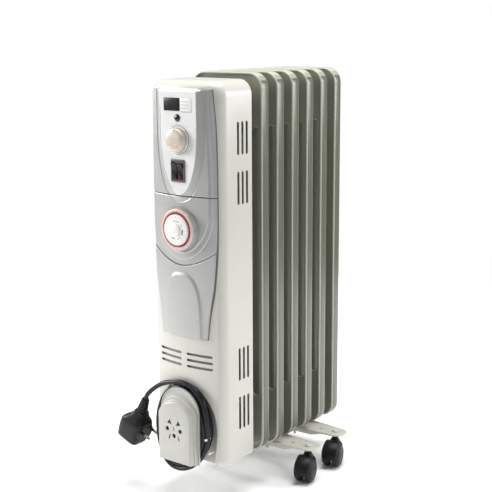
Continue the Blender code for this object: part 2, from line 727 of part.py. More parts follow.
def make_electrics():
    """Terminal block, thermal cut-out and the wire between the block and the thermostat."""
    outline = rounded_rectangle(0.0220, 0.2480, 0.2680, 0.002, 0.002, 2)
    finish("terminal_block", prism(outline, 0.0150, 0.0325), "board")
    disc = lathe_y(((0.0460, 0.0080), (0.0480, 0.0120), (0.0540, 0.0120)), 20, 0.0,
                   (0.0, 0.3100))
    finish("thermal_cutout", disc, "steel")
    curve = bpy.data.curves.new("supply_wire", "CURVE")
    curve.dimensions = "3D"
    curve.bevel_depth = 0.0020
    curve.bevel_resolution = 1
    curve.use_fill_caps = True
    line = curve.splines.new("POLY")
    route = [(0.0170, 0.0220, 0.2705), (0.0300, 0.0200, 0.3000), (0.0400, 0.0180, 0.3700),
             (0.0400, 0.0170, 0.4400), (0.0300, 0.0160, 0.5000), (0.0190, 0.0150, 0.5400)]
    line.points.add(len(route) - 1)
    for point, place in zip(line.points, route):
        point.co = (*place, 1.0)
    wire = bpy.data.objects.new("supply_wire", curve)
    bpy.context.collection.objects.link(wire)
    curve.materials.append(MATERIALS["rubber"])
    wire.parent = HEATER


# ---------------------------------------------------------------- cord winder
def cover_outline(half_width, high, rise, steps=10):
    """Upright sides, a flat bottom and an arched top that rises above the shoulders."""
    radius = (half_width ** 2 + rise ** 2) / (2 * rise)
    spread = math.degrees(math.asin(min(1.0, half_width / radius)))
    points = arc(0.0, high - radius, radius, 90 - spread, 90 + spread, steps)
    return points


def cover_body(shrink):
    sections = []
    for half, high, rise, y in ((0.0370, 0.1765, 0.0370, COVER_REAR_Y),
                                (0.0370, 0.1765, 0.0370, COVER_REAR_Y - 0.0022),
                                (0.0360, 0.1745, 0.0340, COVER_REAR_Y - 0.0030),
                                (0.0354, 0.1680, 0.0280, COVER_REAR_Y - 0.0100),
                                (0.0348, 0.1600, 0.0200, COVER_Y + 0.0018),
                                (0.0330, 0.1565, 0.0175, COVER_Y)):
        ring = cover_outline(half - shrink, high - shrink, rise - shrink)
        low = COVER_LOW + shrink + (0.0010 if y == COVER_Y else 0.0)
        place = y + shrink if y < COVER_REAR_Y - 0.002 else y
        ring += [(shrink - half, low), (half - shrink, low)]
        sections.append([(x, place, z) for x, z in ring])
    if shrink:
        sections[0] = [(x, COVER_REAR_Y + 0.01, z) for x, _, z in sections[0]]
    return loft(sections)


def socket_holes():
    """Seven small holes in the cover, where the cord's plug parks its pins."""
    holes = []
    y_front, y_rear = COVER_Y - 0.01, COVER_Y + 0.008
    for x, z in ((-0.0130, 0.1150), (0.0120, 0.1150), (0.0, 0.1058)):
        holes.append(lathe_y(((y_front, 0.0028), (y_rear, 0.0028)), 12, 0.0, (x, z)))
    for side in (-1, 1):
        triangle = [(side * 0.0045, 0.1235), (side * 0.0115, 0.1245), (side * 0.0075, 0.1300)]
        holes.append(prism(triangle, y_front, y_rear))
        slit = [(side * 0.0062, 0.1062), (side * 0.0086, 0.1000), (side * 0.0100, 0.1006),
                (side * 0.0076, 0.1068)]
        holes.append(prism(slit, y_front, y_rear))
    slit = [(0.0008, 0.1200), (-0.0008, 0.1200), (-0.0008, 0.1130), (0.0008, 0.1130)]
    holes.append(prism(slit, y_front, y_rear))
    return holes


def make_winder():
    cover = combine(cover_body(0.0), [cover_body(0.0020)] + socket_holes(), "DIFFERENCE")
    finish("winder_cover", cover, "cover")
    points = []
    for i in range(15):
        turn = math.radians(-10 + 200 * i / 14)
        points.append((0.0290 * math.cos(turn), 0.1130 + 0.0440 * math.sin(turn)))
    points += [(-0.0240, 0.0880), (0.0240, 0.0880)]
    finish("winder_hub", prism(points, COVER_REAR_Y - 0.0040, WELL_Y - GAP), "cover")
    peg = lathe_y(((-0.0130, 0.0012), (-0.0124, 0.0022), (-0.0110, 0.0022), (-0.0106, 0.0014),
                   (WELL_Y - GAP, 0.0014)), 12, 0.0, (0.0480, 0.0820))
    finish("cord_peg", peg, "white")


# ---------------------------------------------------------------- cord
def coil_point(angle, half_x, half_z):
    """A point of the egg-shaped loop that the cord lies in; its bottom leans to the left."""
    sag = min(0.0, math.sin(angle))
    return (half_x * math.cos(angle) - COIL_LEAN * sag * sag, COIL_Z + half_z * math.sin(angle))


def coil_outline(shrink, count=36):
    return [coil_point(2 * math.pi * i / count, COIL_OUT_X - shrink, COIL_OUT_Z - shrink)
            for i in range(count)]


GLAND_X = -(COIL_OUT_X - 1.5 * CORD_DIAMETER)   # the inner lane, on the left
GLAND_Y = COIL_REAR_Y - CORD_DIAMETER / 2
GLAND_LOW = 0.1130
GLAND_HIGH = 0.1370
TAIL_Y = COIL_FRONT_Y + CORD_DIAMETER / 2
TAIL_RUN = ((-0.0289, 0.1778), (-0.0420, 0.1722), (-0.0530, 0.1652), (-0.0640, 0.1563),
            (-0.0714, 0.1484), (-0.0738, 0.1424))  # after it leaves the top of the coil
PLUG_X, PLUG_Z = -0.0935, 0.0945
PIN_TILT = math.radians(-22.4)                  # the pins point right and a little down


def make_cord():
    block_half = 0.0034
    boss = prism([(GLAND_X + block_half, GLAND_HIGH + 0.0100),
                  (GLAND_X - block_half, GLAND_HIGH + 0.0100),
                  (GLAND_X - block_half, GLAND_HIGH), (GLAND_X + block_half, GLAND_HIGH)],
                 GLAND_Y - block_half, WELL_Y - GAP)
    rings = []
    for z, radius in ((GLAND_HIGH + 0.002, 0.0034), (GLAND_HIGH - 0.004, 0.0034),
                      (GLAND_LOW, 0.0030)):
        ring = []
        for i in range(12):
            turn = 2 * math.pi * i / 12
            ring.append((GLAND_X + radius * math.cos(turn), GLAND_Y + radius * math.sin(turn), z))
        rings.append(ring)
    finish("cord_gland", combine(boss, [loft(rings)], "UNION"), "rubber")

    outer = prism(coil_outline(0.0), COIL_FRONT_Y, COIL_REAR_Y)
    inner = prism(coil_outline(COIL_LANES * CORD_DIAMETER), COIL_FRONT_Y - 0.01, COIL_REAR_Y + 0.01)
    notch_left = GLAND_X - 0.0039
    notch = prism([(-0.0300, GLAND_HIGH + 0.0105), (notch_left, GLAND_HIGH + 0.0105),
                   (notch_left, GLAND_LOW - GAP), (-0.0300, GLAND_LOW - GAP)],
                  GLAND_Y - CORD_DIAMETER / 2 - 0.0003, COIL_REAR_Y + 0.01)
    finish("cord_coil", combine(outer, [inner, notch], "DIFFERENCE"), "rubber")

    curve = bpy.data.curves.new("cord_tail", "CURVE")
    curve.dimensions = "3D"
    curve.bevel_depth = CORD_DIAMETER / 2
    curve.bevel_resolution = 2
    curve.use_fill_caps = True
    line = curve.splines.new("POLY")
    over = CORD_DIAMETER / 2 + GAP
    top = [coil_point(math.radians(turn), COIL_OUT_X + over, COIL_OUT_Z + over)
           for turn in (60, 75, 90, 105)]
    route = smooth_route(top + list(TAIL_RUN), 2)
    line.points.add(len(route) - 1)
    for point, (x, z) in zip(line.points, route):
        point.co = (x, TAIL_Y, z, 1.0)
    tail = bpy.data.objects.new("cord_tail", curve)
    bpy.context.collection.objects.link(tail)
    curve.materials.append(MATERIALS["rubber"])
    tail.parent = HEATER


def smooth_route(points, steps):
    """A Catmull-Rom curve through the route's points."""
    padded = [points[0]] + list(points) + [points[-1]]
    route = []
    for k in range(1, len(padded) - 2):
        p0, p1, p2, p3 = (Vector(padded[k + d]) for d in (-1, 0, 1, 2))
        for i in range(steps):
            t = i / steps
            route.append(tuple(0.5 * ((2 * p1) + (p2 - p0) * t
                                      + (2 * p0 - 5 * p1 + 4 * p2 - p3) * t * t
                                      + (3 * p1 - p0 - 3 * p2 + p3) * t ** 3)))
    route.append(points[-1])
    return route


def make_plug():
    """An angled plug: the cord comes in at its top and the two pins point to the right."""
    place = Matrix.Translation((PLUG_X, TAIL_Y, PLUG_Z)) @ Matrix.Rotation(-PIN_TILT, 4, "Y")
    # Sections along the cord's way in, from the bottom of the body up to the collar.
    sections = []
    for e, left, right, half in ((-0.0245, -0.0130, 0.0060, 0.0090),
                                 (-0.0215, -0.0200, 0.0120, 0.0130),
                                 (-0.0100, -0.0245, 0.0165, 0.0175),
                                 (0.0040, -0.0240, 0.0175, 0.0185),
                                 (0.0160, -0.0190, 0.0170, 0.0165),
                                 (0.0230, -0.0110, 0.0120, 0.0110),
                                 (0.0300, -0.0085, 0.0085, 0.0085),
                                 (0.0510, -0.0060, 0.0060, 0.0060)):
        middle = (left + right) / 2
        reach = (right - left) / 2
        ring = []
        for i in range(16):
            turn = 2 * math.pi * i / 16
            ring.append((middle + reach * math.cos(turn), half * math.sin(turn), e))
        sections.append(ring)
    finish("plug_body", turned(loft(sections), place), "rubber")
    quarter = Matrix.Rotation(math.radians(90), 4, "Z")
    for name, side in (("plug_pin_1", -1), ("plug_pin_2", 1)):
        pin = lathe_y(((-0.0355, 0.0012), (-0.0345, 0.0022), (-0.0179, 0.0022)), 12, 0.0,
                      (side * 0.0093, side * 0.0015 + 0.0040))
        finish(name, turned(pin, place @ quarter), "brass")


# ---------------------------------------------------------------- feet and castors
def foot_y(number):
    """Middle of the gap behind the given fin."""
    fin_y = FIRST_FIN_Y + (number - 1) * FIN_PITCH
    return fin_y + (FIN_PITCH + FIN_RIM_DEPTH) / 2


def foot_outline(y, grow):
    """A bar with round ends, a little narrower towards them; x and y points."""
    tip = 0.0170 + grow
    middle = FOOT_HALF_WIDTH + grow
    end_x = FOOT_HALF_LENGTH - 0.0170
    points = []
    for side in (1, -1):
        points.append((side * 0.0550, y - side * middle))
        for i in range(7):
            turn = math.radians(-90 + 180 * i / 6)
            points.append((side * (end_x + tip * math.cos(turn)), y + side * tip * math.sin(turn)))
        points.append((side * 0.0550, y + side * middle))
    return points


def make_foot(name, y):
    top = FOOT_TOP
    blank = slab(foot_outline(y, 0.0), top - 0.0075, top)
    hollow = slab(foot_outline(y, -FOOT_SHEET), top - 0.02, top - FOOT_SHEET)
    holes = [hollow]
    for side in (-1, 1):
        for x, radius in ((CASTOR_X, 0.0043), (CLAMP_X, 0.0034)):
            hole = lathe_y(((-0.02, radius), (0.02, radius)), 12)
            turn = Matrix.Rotation(math.radians(90), 4, "X")
            holes.append(turned(hole, Matrix.Translation((side * x, y, top)) @ turn))
    # The flange fades out towards the tips, so that the castors' hoods pass under it.
    for side in (-1, 1):
        wedge = [(side * 0.0700, top - 0.02), (side * 0.0700, top - 0.0075),
                 (side * 0.0900, top - FOOT_SHEET), (side * 0.1300, top - FOOT_SHEET),
                 (side * 0.1300, top - 0.02)]
        holes.append(prism(wedge, y - 0.03, y + 0.03))
    finish(name, combine(blank, holes, "DIFFERENCE"), "paint")


def make_clamp(name, y):
    """A U-bolt over the lower cups; its legs go down through the foot."""
    z = FIN_LOW + CUP_FROM_END
    reach = CLAMP_X
    radius = 0.0025
    path = [(-reach, 0.0315)]
    for i in range(9):
        turn = math.pi - math.pi * i / 8
        path.append((reach * math.cos(turn), z + reach * math.sin(turn)))
    path.append((reach, 0.0315))
    rings = []
    for i, (x, height) in enumerate(path):
        before = Vector(path[max(i - 1, 0)])
        after = Vector(path[min(i + 1, len(path) - 1)])
        along = (after - before).normalized()
        ring = []
        for k in range(8):
            turn = 2 * math.pi * k / 8
            out = radius * math.cos(turn)
            ring.append((x - along.y * out, y + radius * math.sin(turn), height + along.x * out))
        rings.append(ring)
    finish(name, loft(rings), "steel")


def make_wing_nut(name, x, y):
    """A nut with two wings, screwed up against the underside of the foot."""
    top = FOOT_TOP - FOOT_SHEET - GAP
    profile = ((-0.0070, 0.0042), (0.0, 0.0062))
    hub = turned(lathe_y(profile, 16), Matrix.Rotation(math.radians(90), 4, "X"))
    wings = []
    for side in (-1, 1):
        outline = [(side * 0.0030, -0.0068), (side * 0.0085, -0.0120), (side * 0.0125, -0.0120),
                   (side * 0.0120, -0.0070), (side * 0.0045, -0.0012)]
        wings.append(prism(outline, -0.0011, 0.0011))
    bore = turned(lathe_y(((-0.03, 0.0029), (0.03, 0.0029)), 12),
                  Matrix.Rotation(math.radians(90), 4, "X"))
    nut = combine(combine(hub, wings, "UNION"), [bore], "DIFFERENCE")
    finish(name, turned(nut, Matrix.Translation((x, y, top))), "steel")


def hood_shape():
    """Swivel hood about its stem: stem, centre web and a fender over both wheels."""
    axle_y, axle_z = -CASTOR_TRAIL, WHEEL_RADIUS
    side_on = Matrix.Translation((0.0, axle_y, axle_z)) @ Matrix.Rotation(math.radians(90), 4, "Z")
    half = WHEEL_INNER_X + WHEEL_THICK + 0.0012

    def across(profile, segments=18):
        return turned(lathe_y(profile, segments), side_on)

    drum = across(((-half, HOOD_RADIUS - 0.0012), (-half + 0.0012, HOOD_RADIUS),
                   (half - 0.0012, HOOD_RADIUS), (half, HOOD_RADIUS - 0.0012)))
    neck_profile = ((axle_z + 0.006, 0.0105), (axle_z + 0.0190, 0.0080),
                    (axle_z + 0.0245, 0.0052), (FOOT_TOP - FOOT_SHEET - 0.0006, 0.0048))
    neck = turned(lathe_y([(z, r) for z, r in neck_profile], 16),
                  Matrix.Rotation(math.radians(90), 4, "X"))
    stem = turned(lathe_y(((FOOT_TOP - 0.01, 0.0036), (FOOT_TOP + 0.0012, 0.0036)), 16),
                  Matrix.Rotation(math.radians(90), 4, "X"))
    head_low = FOOT_TOP + 0.0004
    head = turned(lathe_y(((head_low, 0.0064), (head_low + 0.0014, 0.0060),
                           (head_low + 0.0030, 0.0042), (head_low + 0.0038, 0.0018)), 16),
                  Matrix.Rotation(math.radians(90), 4, "X"))
    wells = []
    for side in (-1, 1):
        inner = side * (WHEEL_INNER_X - 0.0006)
        outer = side * (half + 0.01)
        wells.append(across(((inner, WHEEL_RADIUS + 0.0006), (outer, WHEEL_RADIUS + 0.0006))))
    below = slab([(0.03, axle_y + 0.04), (-0.03, axle_y + 0.04), (-0.03, axle_y - 0.04),
                  (0.03, axle_y - 0.04)], -0.03, axle_z - 0.0050)
    axle = across(((-half + 0.0030, 0.0024), (half - 0.0030, 0.0024)), 12)
    web = combine(combine(drum, [neck], "UNION"), wells + [below], "DIFFERENCE")
    return combine(web, [axle, stem, head], "UNION")


def wheel_shape(side):
    """One wheel, turned about its axle; a flat of its rim is at the bottom."""
    inner = WHEEL_INNER_X
    outer = WHEEL_INNER_X + WHEEL_THICK
    segments = 20
    profile = [(inner, WHEEL_RADIUS - 0.0012), (inner + 0.0012, WHEEL_RADIUS),
               (inner + 0.0060, WHEEL_RADIUS), (inner + 0.0095, WHEEL_RADIUS - 0.0026),
               (outer, WHEEL_RADIUS - 0.0095)]
    grow = 1 / math.cos(math.pi / segments)
    rim = lathe_y([(side * y, r * grow) for y, r in profile], segments, math.pi / segments)
    bore = lathe_y([(side * (inner - 0.01), 0.0028), (side * (outer + 0.01), 0.0028)], 10)
    shape = combine(rim, [bore], "DIFFERENCE")
    return turned(shape, Matrix.Rotation(math.radians(90), 4, "Z"))


def make_castors():
    """Four castors; each hood turns about its stem, and each wheel about the axle."""
    places = []
    for end, number in (("front", FEET_FIRST_GAPS[0]), ("rear", FEET_FIRST_GAPS[1])):
        for side_name, side in (("left", -1), ("right", 1)):
            places.append((f"{end}_{side_name}", side, foot_y(number)))
    hood = None
    wheels = {}
    for label, outwards, y in places:
        x = outwards * CASTOR_X
        spin = (0.0, 0.0, outwards * CASTOR_TURN)
        if hood is None:
            hood = finish(f"hood_{label}", hood_shape(), "black", (x, y, 0.0), spin).data
        else:
            copy_of(hood, f"hood_{label}", (x, y, 0.0), spin)
        for side_name, side in (("a", -1), ("b", 1)):
            name = f"wheel_{label}_{side_name}"
            place = (x + CASTOR_TRAIL * outwards * math.sin(CASTOR_TURN),
                     y - CASTOR_TRAIL * math.cos(CASTOR_TURN), WHEEL_RADIUS)
            if side not in wheels:
                wheels[side] = finish(name, wheel_shape(side), "black", place, spin).data
            else:
                copy_of(wheels[side], name, place, spin)


def copy_of(mesh, name, place, spin):
    made = bpy.data.objects.new(name, mesh)
    bpy.context.collection.objects.link(made)
    made.location = place
    made.rotation_euler = spin
    made.parent = HEATER


def make_feet():
    for end, number in (("front", FEET_FIRST_GAPS[0]), ("rear", FEET_FIRST_GAPS[1])):
        y = foot_y(number)
        make_foot(f"foot_bracket_{end}", y)
        make_clamp(f"u_bolt_{end}", y)
        make_wing_nut(f"wing_nut_{end}_left", -CLAMP_X, y)
        make_wing_nut(f"wing_nut_{end}_right", CLAMP_X, y)


# ---------------------------------------------------------------- the heater
for thing in list(bpy.data.objects):
    bpy.data.objects.remove(thing)
MATERIALS = make_materials()
HEATER = bpy.data.objects.new("heater", None)
bpy.context.collection.objects.link(HEATER)
HEATER.location = (0.0, -MIDDLE_Y, 0.0)
make_fins()
make_heating_element()
make_box()
make_heat_shield()
make_trim()
make_window_and_label()
make_lamp()
make_thermostat()
make_switch()
make_timer()
make_electrics()
make_winder()
make_cord()
make_plug()
make_feet()
make_castors()
bpy.context.view_layer.update()
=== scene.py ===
import math

import bmesh
import bpy
from mathutils import Matrix, Vector


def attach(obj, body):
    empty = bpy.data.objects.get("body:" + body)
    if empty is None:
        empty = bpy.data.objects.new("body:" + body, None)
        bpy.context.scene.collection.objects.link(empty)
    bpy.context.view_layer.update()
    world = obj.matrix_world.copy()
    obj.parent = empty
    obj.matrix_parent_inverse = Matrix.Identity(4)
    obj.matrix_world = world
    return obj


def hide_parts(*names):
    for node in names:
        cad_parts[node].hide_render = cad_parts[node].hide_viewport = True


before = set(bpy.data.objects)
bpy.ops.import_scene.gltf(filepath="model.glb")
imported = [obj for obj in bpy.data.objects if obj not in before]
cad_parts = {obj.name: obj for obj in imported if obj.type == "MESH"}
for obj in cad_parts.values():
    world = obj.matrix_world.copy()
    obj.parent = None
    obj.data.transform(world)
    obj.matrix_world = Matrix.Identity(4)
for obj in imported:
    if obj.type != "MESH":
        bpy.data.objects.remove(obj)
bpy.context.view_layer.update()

# ---------------------------------------------------------------- lengths, in metres
# Y counts from the plane through the control box's front corners; build() moves each mesh.
MIDDLE_Y = 0.13475
GAP = 0.0003

FIN_COUNT = 7
FIN_PITCH = 0.0385
FIRST_FIN_Y = 0.0570
FIN_HALF_WIDTH = 0.066
FIN_LOW = 0.053
FIN_HIGH = 0.633
FIN_CORNER = 0.023
CUP_FROM_END = 0.055

BOX_HALF_WIDTH = 0.067
BOX_LOW = 0.0565
BOX_HIGH = 0.6250
BOX_DEPTH = 0.0700
BOX_WALL = 0.0009
BOX_FILLET = 0.0100
FILLET_DEPTH = 0.0150
FILLET_POWER = 1.5
BOX_CORNER_HIGH = 0.0220
BOX_CORNER_LOW = 0.0130
CROWN = 0.0090
CROWN_HALF_WIDTH = 0.0600

TRIM = 0.0025
TONGUE_Y = -0.0145
TRIM_LOW = 0.2540
SEAM_LOW = 0.3600
SEAM_HIGH = 0.4620
TRIM_HIGH = 0.6145
KNOB_Z = 0.5420
SWITCH_Z = 0.4980
LAMP_Z = 0.5730
TIMER_Z = 0.4135
TIMER_FRONT_Y = -0.0228

COVER_Y = -0.0350
WELL_Y = 0.0120

CORD_DIAMETER = 0.0072
COIL_Z = 0.1110
COIL_OUT_X = 0.0525
COIL_OUT_Z = 0.0685
COIL_LEAN = 0.0120
COIL_FRONT_Y = -0.0187
LAYER = 0.0075
TAIL_Y = COIL_FRONT_Y + CORD_DIAMETER / 2
COIL_REAR_Y = TAIL_Y + 2 * LAYER
GLAND_X = -(COIL_OUT_X - 1.5 * CORD_DIAMETER)
GLAND_LOW = 0.1130
GLAND_HIGH = 0.1370
PLUG_X, PLUG_Z = -0.0935, 0.0945
PIN_TILT = math.radians(-22.4)
TAIL_RUN = ((-0.0289, 0.1778), (-0.0420, 0.1722), (-0.0530, 0.1652), (-0.0640, 0.1563),
            (-0.0714, 0.1484), (-0.0738, 0.1424))

CASTOR_X = 0.1050
CASTOR_TRAIL = 0.0140
WHEEL_RADIUS = 0.0195
CASTOR_TURN = math.radians(17.0)
WHEEL_THICK = 0.0128
WHEEL_INNER_X = 0.0028
HOOD_RADIUS = 0.0220
FOOT_TOP = 0.0527
FOOT_SHEET = 0.0020
FOOT_HALF_LENGTH = 0.1240
FOOT_HALF_WIDTH = 0.0205
CLAMP_X = 0.0250


# ---------------------------------------------------------------- materials
class Nodes:
    """Short calls for building one material's node tree."""

    def __init__(self, name):
        self.material = bpy.data.materials.new(name)
        self.material.use_nodes = True
        self.tree = self.material.node_tree
        self.shader = self.tree.nodes["Principled BSDF"]
        coords = self.add("ShaderNodeTexCoord")
        self.place = coords.outputs["Object"]

    def add(self, kind, **settings):
        node = self.tree.nodes.new(kind)
        for key, value in settings.items():
            setattr(node, key, value)
        return node

    def link(self, source, target):
        self.tree.links.new(source, target)

    def noise(self, scale, detail=3.0, rough=0.5, stretch=None):
        node = self.add("ShaderNodeTexNoise")
        node.inputs["Scale"].default_value = scale
        node.inputs["Detail"].default_value = detail
        node.inputs["Roughness"].default_value = rough
        if stretch is None:
            self.link(self.place, node.inputs["Vector"])
        else:
            mapping = self.add("ShaderNodeMapping")
            mapping.inputs["Scale"].default_value = stretch
            self.link(self.place, mapping.inputs["Vector"])
            self.link(mapping.outputs["Vector"], node.inputs["Vector"])
        return node.outputs["Fac"]

    def span(self, value, low, high, from_low=0.3, from_high=0.7):
        node = self.add("ShaderNodeMapRange")
        node.inputs["From Min"].default_value = from_low
        node.inputs["From Max"].default_value = from_high
        node.inputs["To Min"].default_value = low
        node.inputs["To Max"].default_value = high
        self.link(value, node.inputs["Value"])
        return node.outputs["Result"]

    def ramp(self, value, stops):
        node = self.add("ShaderNodeValToRGB")
        while len(node.color_ramp.elements) < len(stops):
            node.color_ramp.elements.new(0.5)
        for element, (place, colour) in zip(node.color_ramp.elements, stops):
            element.position = place
            element.color = (*colour, 1.0)
        self.link(value, node.inputs["Fac"])
        return node.outputs["Color"]

    def tone(self, value, colour, dark, light, low=0.35, high=0.65):
        """The colour, drifting from a darker to a lighter share of it."""
        return self.ramp(value, [(low, shade(colour, dark)), (high, shade(colour, light))])

    def mix(self, share, first, second):
        node = self.add("ShaderNodeMix", data_type="RGBA")
        self.link(share, node.inputs["Factor"])
        for socket, colour in ((node.inputs["A"], first), (node.inputs["B"], second)):
            if isinstance(colour, tuple):
                socket.default_value = (*colour, 1.0)
            else:
                self.link(colour, socket)
        return node.outputs["Result"]

    def bump(self, height, strength, distance=0.0002, under=None):
        node = self.add("ShaderNodeBump")
        node.inputs["Strength"].default_value = strength
        node.inputs["Distance"].default_value = distance
        self.link(height, node.inputs["Height"])
        if under is not None:
            self.link(under, node.inputs["Normal"])
        return node.outputs["Normal"]

    def finish(self, colour=None, roughness=None, normal=None, **sockets):
        for name, value in (("Base Color", colour), ("Roughness", roughness),
                            ("Normal", normal)):
            if value is None:
                continue
            if isinstance(value, (tuple, float)):
                if isinstance(value, tuple):
                    value = (*value, 1.0)
                self.shader.inputs[name].default_value = value
            else:
                self.link(value, self.shader.inputs[name])
        for name, value in sockets.items():
            self.shader.inputs[name.replace("_", " ")].default_value = value
        return self.material


def shade(colour, by):
    """The colour made lighter or darker."""
    return tuple(min(1.0, part * by) for part in colour)


def enamel(name, colour, gloss=0.30, peel=0.10):
    """Sprayed and baked paint on steel: faint drift in tone, orange peel, fine specks."""
    n = Nodes(name)
    drift = n.noise(9.0, 4.0)
    fine = n.noise(420.0, 2.0)
    tone = n.tone(drift, colour, 0.985, 1.01)
    speck = n.span(fine, 0.0, 0.05, 0.55, 0.8)
    tint = n.mix(speck, tone, shade(colour, 0.85))
    rough = n.span(n.noise(35.0, 3.0), gloss - 0.02, gloss + 0.03)
    normal = n.bump(fine, peel, 0.00005, n.bump(n.noise(160.0, 2.0), peel, 0.00006))
    return n.finish(tint, rough, normal, Coat_Weight=0.25, Coat_Roughness=0.25)


def moulded(name, colour, gloss=0.35, grain=0.3, drift=0.03, shine=0.5):
    """Injection moulded plastic with a fine spark-eroded grain."""
    n = Nodes(name)
    wide = n.noise(14.0, 3.0)
    fine = n.noise(1500.0, 2.0, 0.7)
    tint = n.tone(wide, colour, 1.0 - drift, 1.0 + drift)
    rough = n.span(n.noise(60.0, 4.0), gloss - 0.05, gloss + 0.06)
    return n.finish(tint, rough, n.bump(fine, grain, 0.00005), Specular_IOR_Level=shine)


def metallic_paint(name, colour, gloss=0.33):
    """Silver lacquer: small flakes in a pale base, under a thin clear coat."""
    n = Nodes(name)
    flakes = n.add("ShaderNodeTexVoronoi", feature="F1")
    flakes.inputs["Scale"].default_value = 1900.0
    n.link(n.place, flakes.inputs["Vector"])
    share = n.span(flakes.outputs["Color"], 0.0, 0.16, 0.4, 1.0)
    base = n.tone(n.noise(10.0, 3.0), colour, 0.97, 1.02)
    tint = n.mix(share, base, shade(colour, 1.25))
    rough = n.span(n.noise(50.0, 3.0), gloss - 0.04, gloss + 0.05)
    normal = n.bump(flakes.outputs["Distance"], 0.06, 0.00004)
    return n.finish(tint, rough, normal, Metallic=0.18, Coat_Weight=0.3, Coat_Roughness=0.2)


def steel(name, colour=(0.55, 0.54, 0.52), rough=0.32):
    """Zinc plated or drawn steel, brushed along one axis, with a little dull staining."""
    n = Nodes(name)
    lines = n.noise(220.0, 4.0, 0.6, (1.0, 1.0, 14.0))
    stain = n.noise(40.0, 4.0)
    tint = n.tone(stain, colour, 0.82, 1.06, 0.3, 0.7)
    roughness = n.span(lines, rough - 0.08, rough + 0.12)
    return n.finish(tint, roughness, n.bump(lines, 0.2, 0.00005), Metallic=1.0)


def rubbery(name, colour, gloss=0.42, grain=0.35):
    """Black vinyl or rubber: faint grey bloom and a slightly pebbled skin."""
    n = Nodes(name)
    bloom = n.noise(55.0, 5.0, 0.65)
    tint = n.tone(bloom, colour, 1.0, 1.9, 0.35, 0.75)
    rough = n.span(bloom, gloss - 0.06, gloss + 0.14)
    normal = n.bump(n.noise(800.0, 3.0), grain, 0.00006)
    return n.finish(tint, rough, normal, Specular_IOR_Level=0.28)


def brushed_cap(name, colour):
    """A knob's metallised cap, brushed from side to side."""
    n = Nodes(name)
    streaks = n.noise(90.0, 5.0, 0.65, (1.0, 1.0, 9.0))
    tint = n.ramp(streaks, [(0.32, shade(colour, 0.72)), (0.5, colour), (0.68, shade(colour, 1.14))])
    rough = n.span(streaks, 0.26, 0.44)
    return n.finish(tint, rough, n.bump(streaks, 0.2, 0.00005), Metallic=0.25, Coat_Weight=0.1)


def smoked(name, colour):
    """Dark clear plastic with a little dust on it."""
    n = Nodes(name)
    dust = n.noise(300.0, 3.0)
    tint = n.tone(dust, colour, 1.0, 1.8, 0.4, 0.8)
    return n.finish(tint, n.span(dust, 0.18, 0.28), None, Coat_Weight=0.2, Coat_Roughness=0.1)


CREAM = (0.600, 0.592, 0.545)
MATERIALS = {
    "paint": enamel("cream_enamel", CREAM),
    # The fins' enamel is the box's cream. These four tones are painted light and shade: painted
    # shade on the bands and webs, and painted highlight on the bead and fold.
    "painted_shade_on_fins": enamel("fin_shade_enamel", (0.125, 0.128, 0.098), 0.24),
    "painted_shade_on_webs": enamel("web_shade_enamel", (0.265, 0.270, 0.212), 0.24),
    "painted_highlight_on_beads": enamel("bead_highlight_enamel", (0.50, 0.508, 0.425), 0.30),
    "painted_highlight_on_folds": enamel("fold_highlight_enamel", (0.36, 0.365, 0.30), 0.28),
    "foot_paint": enamel("foot_enamel", (0.58, 0.57, 0.51), 0.30),
    "trim": metallic_paint("silver_lacquer", (0.47, 0.47, 0.455)),
    "console": metallic_paint("console_lacquer", (0.84, 0.84, 0.835)),
    "cover": moulded("winder_plastic", (0.50, 0.495, 0.46), 0.32),
    "grey": moulded("inner_plastic", (0.35, 0.35, 0.33), 0.5),
    "black": moulded("black_nylon", (0.009, 0.009, 0.010), 0.42, 0.4, drift=0.2, shine=0.22),
    "tread": rubbery("wheel_rubber", (0.008, 0.008, 0.009), 0.42, 0.5),
    "cord": rubbery("cord_sheath", (0.010, 0.010, 0.011), 0.28, 0.15),
    "plug": moulded("plug_rubber", (0.010, 0.010, 0.011), 0.40, 0.4, drift=0.2, shine=0.28),
    "knob": brushed_cap("champagne_metal", (0.70, 0.63, 0.53)),
    "knob_side": moulded("champagne_plastic", (0.60, 0.52, 0.42), 0.36, 0.2),
    "window": smoked("smoked_window", (0.012, 0.013, 0.014)),
    "white": moulded("white_plastic", (0.82, 0.81, 0.78), 0.30, 0.15),
    "rose": moulded("rose_plastic", (0.40, 0.13, 0.125), 0.36, 0.2),
    "blush": moulded("blush_plastic", (0.80, 0.50, 0.47), 0.34, 0.15),
    "smoke": moulded("switch_plastic", (0.115, 0.105, 0.115), 0.40, 0.15),
    # Painted shadow for the seams and the trim's right edge.
    "trim_edge_shadow": moulded("painted_seam_shadow", (0.14, 0.14, 0.135), 0.6, 0.3),
    "maroon": moulded("rocker_tint", (0.050, 0.010, 0.014), 0.34, 0.1, drift=0.1, shine=0.25),
    "ink": moulded("printed_ink", (0.10, 0.10, 0.11), 0.55, 0.1),
    "rose_ink": moulded("rose_ink", (0.62, 0.22, 0.20), 0.55, 0.1),
    "grey_ink": moulded("grey_ink", (0.40, 0.40, 0.40), 0.55, 0.1),
    "rocker": moulded("rocker_plastic", (0.014, 0.011, 0.012), 0.34, 0.1, drift=0.15,
                      shine=0.25),
    "steel": steel("zinc_steel"),
    "brass": steel("pin_brass", (0.30, 0.27, 0.20), 0.30),
    "board": moulded("moulded_insulator", (0.30, 0.27, 0.22), 0.6),
}


# ---------------------------------------------------------------- outlines, as (x, z) points
def circle(radius, count, centre=(0.0, 0.0)):
    turns = [2 * math.pi * i / count for i in range(count)]
    return [(centre[0] + radius * math.cos(turn), centre[1] + radius * math.sin(turn))
            for turn in turns]


def arc(centre_x, centre_z, radius, start, end, steps):
    turns = [math.radians(start + (end - start) * i / steps) for i in range(steps + 1)]
    return [(centre_x + radius * math.cos(turn), centre_z + radius * math.sin(turn))
            for turn in turns]


def rectangle(left, right, low, high):
    return [(right, high), (left, high), (left, low), (right, low)]


